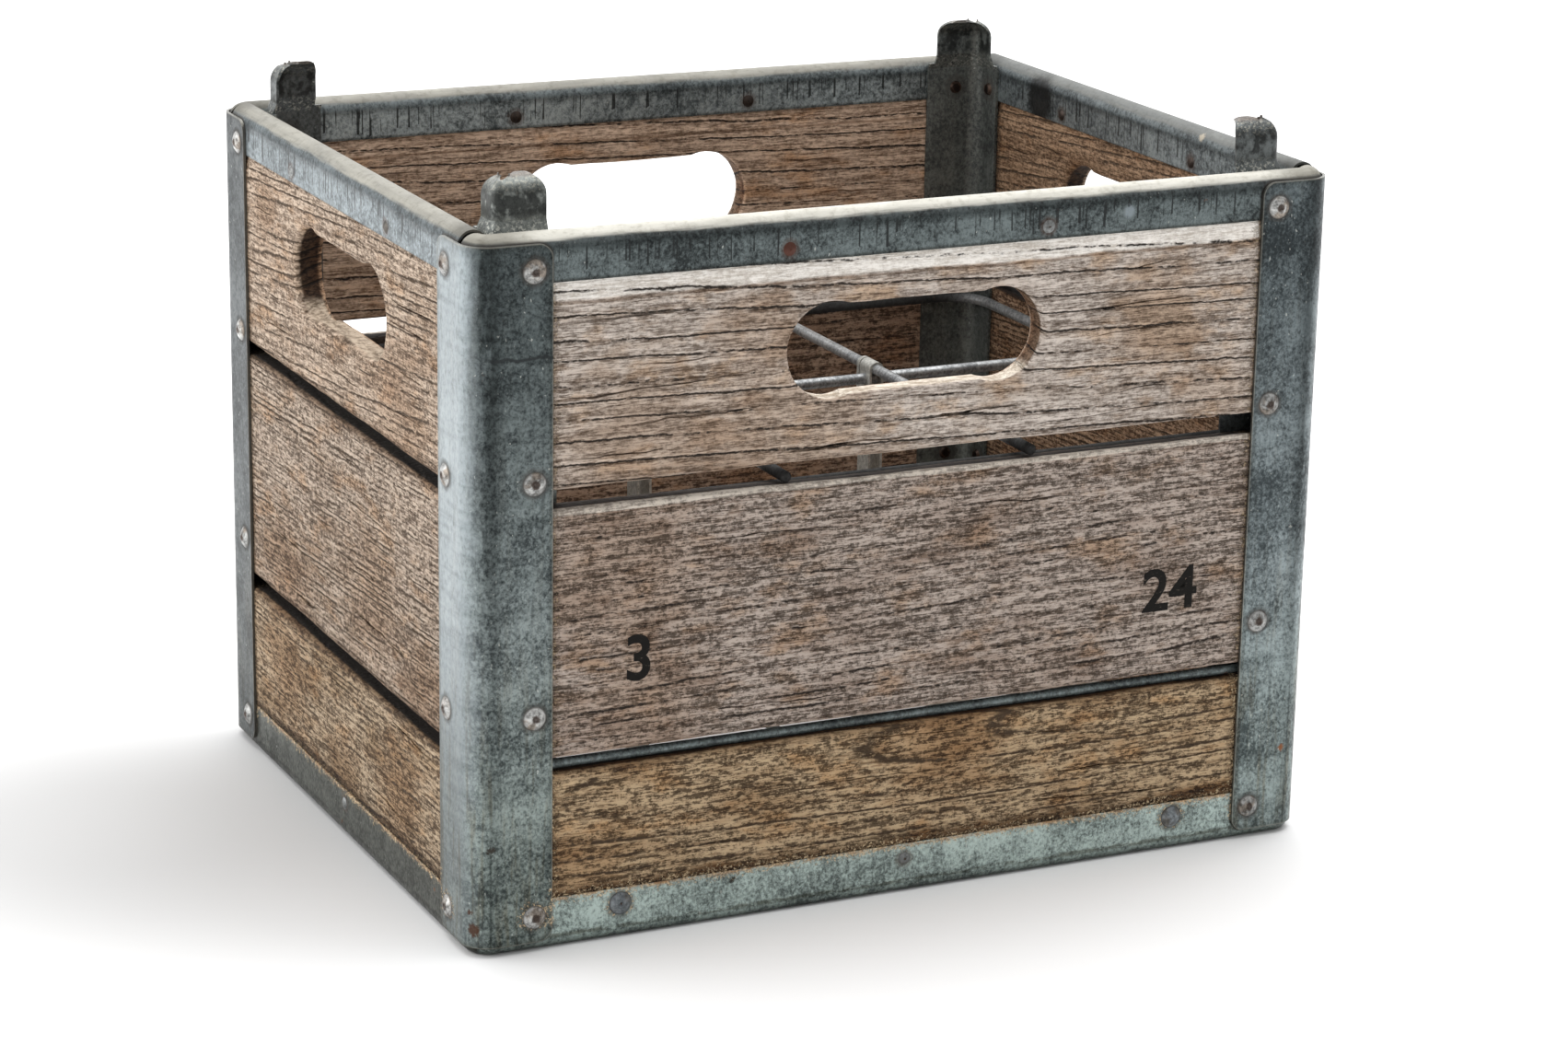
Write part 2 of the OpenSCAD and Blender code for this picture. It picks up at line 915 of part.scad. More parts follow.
divider_hanger(-1);  // divider_hanger_left
divider_hanger(1);  // divider_hanger_right
lower_rod("front");  // lower_rod_front
lower_rod("back");  // lower_rod_back
lower_cross_rod(-1);  // lower_cross_rod_left
lower_cross_rod(1);  // lower_cross_rod_right
cross_strap(-1);  // bottom_strap_left
cross_strap(1);  // bottom_strap_right
bottom_strap_long();
corner_rivets("front_left");  // corner_rivets_front_left
corner_rivets("front_right");  // corner_rivets_front_right
corner_rivets("back_left");  // corner_rivets_back_left
corner_rivets("back_right");  // corner_rivets_back_right
strap_rivets();
rim_nails();
rail_nails();
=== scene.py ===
# %% [markdown]
# A wooden dairy crate, dressed for a portrait.
# The CAD model comes first, as a fixed frame: every board, sheet, rod and rivet is already in its
# place, in metres, with X along the crate, Y towards the back and Z up. This lesson gives those parts
# their weathered surfaces, and replaces the ones whose worn shape is richer than the plain CAD solid.

# %% Load the frame
import math
import random

import bmesh
import bpy
from mathutils import Matrix, Vector


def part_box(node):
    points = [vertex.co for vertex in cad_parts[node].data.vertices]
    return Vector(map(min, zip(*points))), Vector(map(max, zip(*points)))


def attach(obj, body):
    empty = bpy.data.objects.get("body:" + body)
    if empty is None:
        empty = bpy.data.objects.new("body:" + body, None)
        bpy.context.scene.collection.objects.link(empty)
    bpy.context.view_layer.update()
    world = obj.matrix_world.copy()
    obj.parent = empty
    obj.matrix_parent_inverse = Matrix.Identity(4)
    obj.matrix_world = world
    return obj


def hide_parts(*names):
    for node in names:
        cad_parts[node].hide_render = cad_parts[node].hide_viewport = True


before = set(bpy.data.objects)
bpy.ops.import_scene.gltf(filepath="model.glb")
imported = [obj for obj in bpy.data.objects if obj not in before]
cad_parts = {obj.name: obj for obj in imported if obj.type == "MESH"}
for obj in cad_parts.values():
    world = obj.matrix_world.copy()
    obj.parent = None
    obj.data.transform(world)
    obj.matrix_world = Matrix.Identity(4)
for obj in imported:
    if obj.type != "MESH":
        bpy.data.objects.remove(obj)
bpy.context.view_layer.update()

MM = 0.001

# %% [markdown]
# The camera stands where the photographer stood: to the left of the front, a little above the rim,
# and far enough away that the long lens flattens the perspective. Its place was solved from the
# crate's own corners, so the same corners land on the same spots of a 1703 x 1135 picture. The three
# directions are the columns of the camera's rotation, because a Blender camera looks along its own -Z.

# %% The camera
CAMERA_PLACE = Vector((-0.74377, -1.57890, 0.63660))
CAMERA_RIGHT = Vector((0.90365, -0.42790, 0.01798))
CAMERA_UP = Vector((0.10593, 0.26397, 0.95870))
LENS_MM = 94.36
SENSOR_MM = 36.0


def add_camera():
    """The photograph's camera, made the scene's own."""
    data = bpy.data.cameras.new("portrait_camera")
    data.lens = LENS_MM
    data.sensor_fit = "HORIZONTAL"
    data.sensor_width = SENSOR_MM
    camera = bpy.data.objects.new("portrait_camera", data)
    bpy.context.scene.collection.objects.link(camera)
    back = CAMERA_RIGHT.cross(CAMERA_UP).normalized()
    turn = Matrix((CAMERA_RIGHT, CAMERA_UP, back)).transposed().to_4x4()
    camera.matrix_world = Matrix.Translation(CAMERA_PLACE) @ turn
    bpy.context.scene.camera = camera
    return camera


camera = add_camera()
print("camera at", [round(v, 3) for v in camera.matrix_world.translation])

# %% [markdown]
# The studio is a sheet of white paper under three soft panels. One stands on the floor at the left: the
# round corner of the nearest post mirrors it as a bright stripe, while the front stays darker. One
# hangs over the crate and whitens the paper, and a low one behind lays a pale line on the rims. The
# sky gives the rest, evenly from all sides, so that the inside of the crate can still be read.

# %% The studio
FLOOR_HALF_SIZE = 6.0
FLOOR_DROP = 0.00005


def add_floor():
    """A wide pale sheet just under the crate's feet."""
    bpy.ops.object.select_all(action="DESELECT")
    bpy.ops.mesh.primitive_grid_add(x_subdivisions=2, y_subdivisions=2, size=2 * FLOOR_HALF_SIZE)
    floor = bpy.context.object
    floor.name = "paper_floor"
    floor.data.transform(Matrix.Translation((0, 0, -FLOOR_DROP)))
    return floor


def add_panel(name, place, width, height, glow, aim=(0, 0, 0.15)):
    """A soft panel at place that faces aim. glow 1 would look exactly white."""
    data = bpy.data.lights.new(name, "AREA")
    data.shape = "RECTANGLE"
    data.size = width
    data.size_y = height
    data.energy = glow * math.pi * width * height
    light = bpy.data.objects.new(name, data)
    bpy.context.scene.collection.objects.link(light)
    light.location = place
    light.rotation_euler = (Vector(aim) - Vector(place)).to_track_quat("-Z", "Y").to_euler()
    return light


def add_white_sky(strength):
    """The same white from every side."""
    sky = bpy.data.worlds.new("white_sky")
    sky.use_nodes = True
    background = sky.node_tree.nodes["Background"]
    background.inputs["Color"].default_value = (1.0, 1.0, 1.0, 1.0)
    background.inputs["Strength"].default_value = strength
    bpy.context.scene.world = sky


floor = add_floor()
lights = [
    add_panel("left_panel", (-1.25, 0.35, 0.62), 1.5, 1.2, 2.5, aim=(0.0, 0.1, 0.3)),
    add_panel("overhead_panel", (0.6, 0.7, 2.2), 3.4, 2.8, 3.0, aim=(0.4, 0.4, 0.0)),
    add_panel("back_panel", (0.7, 2.9, 1.0), 3.6, 1.7, 1.5, aim=(0.0, 0.0, 0.3)),
]
add_white_sky(0.62)
bpy.context.scene.view_settings.view_transform = "Standard"
for light in lights:
    print(light.name, "gives", round(light.data.energy, 1), "W")

# %% [markdown]
# Materials are built from small nodes. These helpers keep each recipe short: one adds a node and
# fills its sockets, and the others are the few patterns that come back all the time. All patterns
# read Object coordinates turned to millimetres, so a number such as 0.8 is a real size.

# %% Helpers for node trees
def add_node(tree, kind, sockets=None, **settings):
    """A new node. sockets maps an input's name or number to a value or to another node's output."""
    made = tree.nodes.new(kind)
    for key, value in settings.items():
        setattr(made, key, value)
    for key, value in (sockets or {}).items():
        if isinstance(value, bpy.types.NodeSocket):
            tree.links.new(value, made.inputs[key])
        else:
            made.inputs[key].default_value = value
    return made


def sum_up(tree, operation, first, second=0.5, third=0.5, clamp=False):
    """A sum on numbers, named as Blender's Math node names it."""
    sockets = {0: first, 1: second, 2: third}
    return add_node(tree, "ShaderNodeMath", sockets, operation=operation, use_clamp=clamp).outputs[0]


def stretched(tree, vector, scale, offset=(0, 0, 0), turn=(0, 0, 0)):
    """Coordinates divided by a feature's size in millimetres along each axis."""
    sockets = {
        "Vector": vector,
        "Location": offset,
        "Rotation": turn,
        "Scale": tuple(1 / s for s in scale),
    }
    return add_node(tree, "ShaderNodeMapping", sockets, vector_type="POINT").outputs[0]


def clouds(tree, vector, detail=3.0, roughness=0.55, distortion=0.0):
    """Soft noise between 0 and 1 with features one unit of vector wide."""
    sockets = {
        "Vector": vector,
        "Scale": 1.0,
        "Detail": detail,
        "Roughness": roughness,
        "Distortion": distortion,
    }
    return add_node(tree, "ShaderNodeTexNoise", sockets).outputs[0]


def between(tree, value, low, high, to_low=0.0, to_high=1.0):
    """value taken smoothly from its range low to high into to_low to to_high."""
    sockets = {"Value": value, "From Min": low, "From Max": high, "To Min": to_low, "To Max": to_high}
    made = add_node(tree, "ShaderNodeMapRange", sockets, interpolation_type="SMOOTHSTEP")
    return made.outputs["Result"]


def blend(tree, amount, first, second, mode="MIX"):
    """Colour first turned into second by amount."""
    made = add_node(tree, "ShaderNodeMix", data_type="RGBA", blend_type=mode)
    for socket, value in zip((made.inputs[0], made.inputs[6], made.inputs[7]), (amount, first, second)):
        if isinstance(value, bpy.types.NodeSocket):
            tree.links.new(value, socket)
        elif socket.type == "RGBA":
            socket.default_value = (*value, 1.0)
        else:
            socket.default_value = value
    return made.outputs[2]


def object_millimetres(tree):
    """Object coordinates in millimetres."""
    source = add_node(tree, "ShaderNodeTexCoord").outputs["Object"]
    scale = {0: source, 1: (1000.0, 1000.0, 1000.0)}
    return add_node(tree, "ShaderNodeVectorMath", scale, operation="MULTIPLY").outputs[0]


def new_group(name, inputs, outputs):
    """An empty shader group with named sockets: a kind and a default for each input."""
    group = bpy.data.node_groups.new(name, "ShaderNodeTree")
    for label, (kind, default) in inputs.items():
        socket = group.interface.new_socket(label, in_out="INPUT", socket_type="NodeSocket" + kind)
        if default is not None:
            socket.default_value = default
    for label, kind in outputs.items():
        group.interface.new_socket(label, in_out="OUTPUT", socket_type="NodeSocket" + kind)
    return group, add_node(group, "NodeGroupInput").outputs, add_node(group, "NodeGroupOutput").inputs


def place_group(tree, group, sockets):
    """The group placed in a tree, with its named inputs filled as add_node fills them."""
    made = add_node(tree, "ShaderNodeGroup", node_tree=group)
    for key, value in sockets.items():
        if isinstance(value, bpy.types.NodeSocket):
            tree.links.new(value, made.inputs[key])
        else:
            made.inputs[key].default_value = value
    return made.outputs


print("node helpers ready")


# %% [markdown]
# Dirt gathers along the posts' edges and round the rivets and nails, and painted shade is laid there
# too, while the posts' bends get a painted highlight. This group knows where those are. It turns a place
# on the crate into distances in mm: how far in from the end of the wall, how deep behind its outer face,
# how far outside the outline of a corner post (below 0 is on the post), how far from a rivet and how far
# from a nail. Turn is the angle round a post's bend, from 0 on the short wall to 90 on the long.

# %% Distances to posts, rivets and nails
POST_BOX = [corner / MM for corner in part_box("corner_post_back_right")]
HALF_LENGTH, HALF_DEPTH, POST_HIGH = POST_BOX[1]
WING_LONG, WING_SHORT = HALF_LENGTH - POST_BOX[0].x, HALF_DEPTH - POST_BOX[0].y
WING_CORNER = 6.0
POST_BEND = 12.0
RIVET_HEIGHTS = (14.9, 99.2, 195.6, 280.3)
RIVET_LONG, RIVET_SHORT = 27.4, 25.4
STRAP_RIVET = 129.0
RIM_NAIL = 58.2


def apart(group, first, first_at, second, second_at=0.0):
    """Distance in a plane from the point first_at, second_at."""
    first = sum_up(group, "SUBTRACT", first, first_at)
    second = sum_up(group, "SUBTRACT", second, second_at)
    squares = sum_up(group, "MULTIPLY_ADD", first, first, sum_up(group, "MULTIPLY", second, second))
    return sum_up(group, "SQRT", squares)


def make_marks_group():
    """Crate coordinates in mm to Inset, Depth, Outline, Rivet, Nail (all in mm) and Turn (degrees)."""
    outputs = dict.fromkeys(("Inset", "Depth", "Outline", "Rivet", "Nail", "Turn"), "Float")
    group, given, result = new_group("crate_marks", {"Place": ("Vector", None)}, outputs)
    axes = add_node(group, "ShaderNodeSeparateXYZ", {0: given["Place"]}).outputs
    along = sum_up(group, "ABSOLUTE", axes["X"])
    deep = sum_up(group, "ABSOLUTE", axes["Y"])
    from_end = sum_up(group, "SUBTRACT", HALF_LENGTH, along)
    from_side = sum_up(group, "SUBTRACT", HALF_DEPTH, deep)
    inset = sum_up(group, "MAXIMUM", from_end, from_side)
    depth = sum_up(group, "MINIMUM", from_end, from_side)
    on_long = sum_up(group, "GREATER_THAN", from_end, from_side)

    wing = sum_up(group, "MULTIPLY_ADD", on_long, WING_LONG - WING_SHORT, WING_SHORT - WING_CORNER)
    middle = (POST_BOX[0].z + POST_HIGH) / 2
    upward = sum_up(group, "ABSOLUTE", sum_up(group, "SUBTRACT", axes["Z"], middle))
    upward = sum_up(group, "SUBTRACT", upward, POST_HIGH - middle - WING_CORNER)
    outward = sum_up(group, "SUBTRACT", inset, wing)
    beyond = apart(group, sum_up(group, "MAXIMUM", outward, 0.0), 0.0, sum_up(group, "MAXIMUM", upward, 0.0))
    within = sum_up(group, "MINIMUM", sum_up(group, "MAXIMUM", outward, upward), 0.0)
    outline = sum_up(group, "SUBTRACT", sum_up(group, "ADD", beyond, within), WING_CORNER)

    over = 1000.0
    for height in RIVET_HEIGHTS:
        over = sum_up(group, "MINIMUM", over, sum_up(group, "ABSOLUTE", sum_up(group, "SUBTRACT", axes["Z"], height)))
    rivet = apart(group, along, HALF_LENGTH - RIVET_LONG, over)
    rivet = sum_up(group, "MINIMUM", rivet, apart(group, deep, HALF_DEPTH - RIVET_SHORT, over))
    rivet = sum_up(group, "MINIMUM", rivet, apart(group, along, STRAP_RIVET, axes["Z"], RIVET_HEIGHTS[0]))
    nail = apart(group, along, RIM_NAIL, axes["Z"], RIVET_HEIGHTS[-1])
    nail = sum_up(group, "MINIMUM", nail, apart(group, deep, RIM_NAIL, axes["Z"], RIVET_HEIGHTS[-1]))
    centre = sum_up(group, "MINIMUM", along, deep)
    nail = sum_up(group, "MINIMUM", nail, apart(group, centre, 0.0, axes["Z"], RIVET_HEIGHTS[0]))

    to_long = sum_up(group, "MAXIMUM", sum_up(group, "SUBTRACT", POST_BEND, from_side), 0.0)
    to_short = sum_up(group, "MAXIMUM", sum_up(group, "SUBTRACT", POST_BEND, from_end), 0.0)
    turn = sum_up(group, "DEGREES", sum_up(group, "ARCTAN2", to_long, to_short))
    made = {"Inset": inset, "Depth": depth, "Outline": outline, "Rivet": rivet, "Nail": nail, "Turn": turn}
    for label, value in made.items():
        group.links.new(value, result[label])
    return group


marks_group = make_marks_group()
print("posts reach", round(WING_LONG, 1), "and", round(WING_SHORT, 1), "mm along the walls")

# %% [markdown]
# Weathered wood is a solid pattern, like the real thing: a log made of rings, with fibres along it.
# The rings are distances from the log's heart, which lies somewhere behind or beside the board and
# leans a little, so straight cuts give near-parallel lines and slanting cuts give arches. Old boards
# open up along those rings, in rows of short dark dashes with a pale lip, and between them the pores
# show as finer dashes. Because the pattern is solid, the end grain inside a hand hole comes out right
# without any extra work.

# %% The grain of a board, as a shader group
def ring_distance(group, given):
    """Distance in mm from a point of the board to its log's heart, with a natural wander."""
    board = given["Board"]
    axes = add_node(group, "ShaderNodeSeparateXYZ", {0: board}).outputs
    long_wander = clouds(group, stretched(group, board, (130, 60, 34)), 2.0)
    short_wander = clouds(group, stretched(group, board, (14, 12, 9)), 3.0, 0.6)
    jitter = clouds(group, stretched(group, board, (2.6, 4, 2.4)), 2.0, 0.6)
    uneven = clouds(group, stretched(group, board, (400, 90, 13)), 1.0)
    sway = sum_up(group, "MULTIPLY_ADD", long_wander, 2.0, -1.0)
    sway = sum_up(group, "MULTIPLY", sway, given["Wander"])
    sway = sum_up(group, "MULTIPLY_ADD", short_wander, 1.8, sway)
    sway = sum_up(group, "MULTIPLY_ADD", jitter, 1.1, sway)
    sway = sum_up(group, "MULTIPLY_ADD", uneven, 7.0, sway)
    heart = sum_up(group, "MULTIPLY_ADD", axes["X"], given["Lean"], given["Heart Height"])
    across = sum_up(group, "ADD", sum_up(group, "SUBTRACT", axes["Z"], heart), sway)
    depth = sum_up(group, "MULTIPLY_ADD", axes["X"], given["Dive"], given["Heart Depth"])
    deep = sum_up(group, "SUBTRACT", axes["Y"], depth)
    squares = sum_up(group, "MULTIPLY_ADD", deep, deep, sum_up(group, "MULTIPLY", across, across))
    return sum_up(group, "SQRT", squares)


def make_grain_group():
    """Coordinates in mm (X along the grain, Y into the board, Z across) to tone, cracks and relief."""
    inputs = {
        "Board": ("Vector", None),
        "Ring Width": ("Float", 7.5),
        "Heart Height": ("Float", 0.0),
        "Heart Depth": ("Float", 120.0),
        "Lean": ("Float", 0.02),
        "Dive": ("Float", 0.0),
        "Wander": ("Float", 2.0),
        "Openness": ("Float", 0.5),
        "Pores": ("Float", 0.5),
        "Tufts": ("Float", 1.2),
        "Flecks": ("Float", 1.1),
        "Contrast Cut": ("Float", 0.0),
    }
    outputs = dict.fromkeys(("Tone", "Crack", "Lip", "Pore", "Relief", "Patch"), "Float")
    group, given, result = new_group("wood_grain", inputs, outputs)
    board = given["Board"]
    radius = ring_distance(group, given)
    turns = sum_up(group, "DIVIDE", radius, given["Ring Width"])
    phase = sum_up(group, "FRACT", turns)
    strength = {"W": sum_up(group, "FLOOR", turns)}
    strength = add_node(group, "ShaderNodeTexWhiteNoise", strength, noise_dimensions="1D").outputs["Value"]
    signed = sum_up(group, "MULTIPLY", sum_up(group, "SUBTRACT", phase, 0.5), given["Ring Width"])
    gap = sum_up(group, "ABSOLUTE", signed)

    dashes = clouds(group, stretched(group, board, (3.6, 9, 2.2)), 3.0, 0.6)
    presence = clouds(group, stretched(group, board, (38, 25, 6)), 2.0)
    shown = sum_up(group, "MULTIPLY_ADD", presence, 1.3, sum_up(group, "MULTIPLY", dashes, 1.1))
    shown = sum_up(group, "MULTIPLY_ADD", strength, 0.35, shown)
    shown = sum_up(group, "ADD", shown, given["Openness"])
    shown = between(group, shown, 1.74, 1.94)
    width = sum_up(group, "MULTIPLY_ADD", dashes, 1.3, -0.08)
    line = sum_up(group, "SUBTRACT", 1.0, between(group, gap, 0.08, width))
    crack = sum_up(group, "MULTIPLY", line, shown)
    lip_start = between(group, signed, 0.2, 0.6)
    lip_end = between(group, signed, 0.8, 1.7, 1.0, 0.0)
    lip = sum_up(group, "MULTIPLY", sum_up(group, "MULTIPLY", lip_start, lip_end), shown)

    fibre = clouds(group, stretched(group, board, (17, 2.5, 0.75)), 4.0, 0.7)
    hairs = clouds(group, stretched(group, board, (4.5, 1.5, 0.55)), 3.0, 0.7)
    tufts = clouds(group, stretched(group, board, (6.5, 2.5, 1.7)), 3.0, 0.75)
    strand = clouds(group, stretched(group, board, (60, 6, 3.4)), 3.0, 0.6)
    fleck = clouds(group, stretched(group, board, (1.7, 3, 1.6)), 3.0, 0.75)
    early = between(group, gap, 0.0, sum_up(group, "MULTIPLY", given["Ring Width"], 0.35), 0.1, 0.0)
    pore = clouds(group, stretched(group, board, (4.8, 2.6, 0.62)), 2.0, 0.6)
    pore = sum_up(group, "ADD", sum_up(group, "MULTIPLY_ADD", given["Pores"], 0.16, pore), early)
    pore = between(group, pore, 0.62, 0.73)
    late = between(group, phase, 0.1, 0.5)
    tone = sum_up(group, "MULTIPLY_ADD", sum_up(group, "SUBTRACT", fibre, 0.5), 1.7, 0.55)
    tone = sum_up(group, "MULTIPLY_ADD", sum_up(group, "SUBTRACT", hairs, 0.5), 1.5, tone)
    tone = sum_up(group, "MULTIPLY_ADD", sum_up(group, "SUBTRACT", tufts, 0.5), given["Tufts"], tone)
    tone = sum_up(group, "MULTIPLY_ADD", sum_up(group, "SUBTRACT", strand, 0.5), 0.8, tone)
    tone = sum_up(group, "MULTIPLY_ADD", sum_up(group, "SUBTRACT", fleck, 0.5), given["Flecks"], tone)
    tone = sum_up(group, "MULTIPLY_ADD", sum_up(group, "SUBTRACT", late, 0.5), -0.14, tone)
    relief = sum_up(group, "MULTIPLY_ADD", fibre, 0.30, sum_up(group, "MULTIPLY", strand, 0.2))
    relief = sum_up(group, "MULTIPLY_ADD", pore, -0.18, relief)
    relief = sum_up(group, "MULTIPLY_ADD", crack, -0.7, relief)
    patch = clouds(group, stretched(group, board, (48, 30, 17)), 4.0, 0.6)
    cut = given["Contrast Cut"]
    tone = between(group, tone, cut, sum_up(group, "SUBTRACT", 1.0, cut))
    made = {"Tone": tone, "Crack": crack, "Lip": lip, "Pore": pore}
    made.update({"Relief": relief, "Patch": patch})
    for label, value in made.items():
        group.links.new(value, result[label])
    return group


grain_group = make_grain_group()
print("grain group has", len(grain_group.nodes), "nodes")

# %% [markdown]
# Where a board meets steel or the next board, it is painted darker: partly dirt and rust water, partly
# painted shade in the joints. Along its long edges it turns pale: partly wear from hands and bottles,
# partly a painted highlight on the rounded edges. Both follow the crate's own sizes, so this group asks
# how far a point is from its board's long edges and from the posts at its ends. Its masks are this dirt
# and shade, the pale edges, the inner face, which never saw the sun and stayed dark, and the faces
# inside the board's thickness, which get painted shade.

# %% Dirt and shade, pale edges and the inner face
def make_edge_group():
    """Masks near a board's long edges (Low and High, in mm), near its ends (End) and inside (Inner)."""
    inputs = {
        "Board": ("Vector", None),
        "Low": ("Float", 0.0),
        "High": ("Float", 100.0),
        "End": ("Float", 160.0),
        "Inner": ("Float", 139.0),
    }
    outputs = dict.fromkeys(("Grime And Shade", "Rubbed", "Inside", "Core", "End"), "Float")
    group, given, result = new_group("board_edges", inputs, outputs)
    axes = add_node(group, "ShaderNodeSeparateXYZ", {0: given["Board"]}).outputs
    above_low = sum_up(group, "SUBTRACT", axes["Z"], given["Low"])
    under_high = sum_up(group, "SUBTRACT", given["High"], axes["Z"])
    to_end = sum_up(group, "SUBTRACT", given["End"], sum_up(group, "ABSOLUTE", axes["X"]))
    edge = sum_up(group, "MINIMUM", above_low, under_high)
    nearest = sum_up(group, "MINIMUM", edge, to_end)
    ragged = clouds(group, stretched(group, given["Board"], (5, 4, 2.5)), 4.0, 0.65)
    reach = sum_up(group, "MULTIPLY", ragged, 9.0)
    # darker near the long edges and the ends: partly dirt, partly painted shade
    grime_and_shade = sum_up(group, "SUBTRACT", 1.0, between(group, nearest, 0.0, reach))
    chips = sum_up(group, "MULTIPLY", clouds(group, stretched(group, given["Board"], (8, 3, 3)), 3.0), 2.4)
    wear_and_sheen = sum_up(group, "SUBTRACT", 1.0, between(group, edge, 0.2, chips))
    depth = sum_up(group, "SUBTRACT", sum_up(group, "ABSOLUTE", axes["Y"]), given["Inner"])
    inside = between(group, depth, 1.0, 9.0, 1.0, 0.0)
    core = sum_up(group, "MULTIPLY", between(group, depth, 1.0, 3.0), between(group, depth, 9.6, 11.2, 1.0, 0.0))
    made = {"Grime And Shade": grime_and_shade, "Rubbed": wear_and_sheen, "Inside": inside, "Core": core, "End": to_end}
    for label, value in made.items():
        group.links.new(value, result[label])
    return group


edge_group = make_edge_group()
print("edge group has", len(edge_group.nodes), "nodes")

# %% [markdown]
# One recipe makes the finish of every board. What differs from board to board is where the log's
# heart lay, how far apart the rings are, how open the cracks stand and how much sun and dirt the board
# has seen. The planed band just under a rim is painted nearly white: partly clean planed wood, partly a
# painted highlight where its slope faces the light. The faces inside a joint, a split or a hand hole get
# painted shade, nearly black on the faces above and below a joint; the hole's sill, which faces up, is
# painted pale instead, partly as wood that hands have worn and partly as painted light. Yellow sand
# sticks along the posts and the base rail, where a dark seam is painted, partly dirt and partly painted shade.

# %% The finish of a board
SHORT_WALL_TURN = (0, 0, math.radians(90))
CRACK_BLACK = (0.020, 0.014, 0.010)
CRACK_BROWN = (0.060, 0.038, 0.022)
SAND = (0.66, 0.50, 0.30)
DARK_SAND = (0.13, 0.085, 0.05)
SAND_REACH = 5.5


def sand_grains(tree, place, distance, reach):
    """A mask of loose grains that get rarer with distance, gone at reach mm."""
    grains = clouds(tree, stretched(tree, place, (1.25, 1.25, 1.25)), 3.0, 0.75)
    drifts = clouds(tree, stretched(tree, place, (14, 14, 9)), 2.0)
    near = between(tree, distance, 0.0, reach, 0.15, 0.0)
    grains = sum_up(tree, "ADD", grains, sum_up(tree, "ADD", near, sum_up(tree, "MULTIPLY", drifts, 0.12)))
    grains = between(tree, grains, 0.68, 0.75)
    return sum_up(tree, "MULTIPLY", grains, between(tree, distance, 0.7 * reach, reach, 1.0, 0.0))


def lay_sand(tree, place, distance, reach, colour, amount):
    """Sand of pale and dark grains laid over a colour. Returns the new colour and the sand's mask."""
    sand = sand_grains(tree, place, distance, reach)
    shades = clouds(tree, stretched(tree, place, (1.1, 1.1, 1.1), (9, 5, 3)), 2.0, 0.7)
    grain = blend(tree, between(tree, shades, 0.40, 0.58), DARK_SAND, SAND)
    return blend(tree, sum_up(tree, "MULTIPLY", sand, amount), colour, grain), sand


def tint(tree, amount, colour, tinge):
    """The colour multiplied by a tinge, by amount."""
    return blend(tree, amount, colour, tinge, "MULTIPLY")


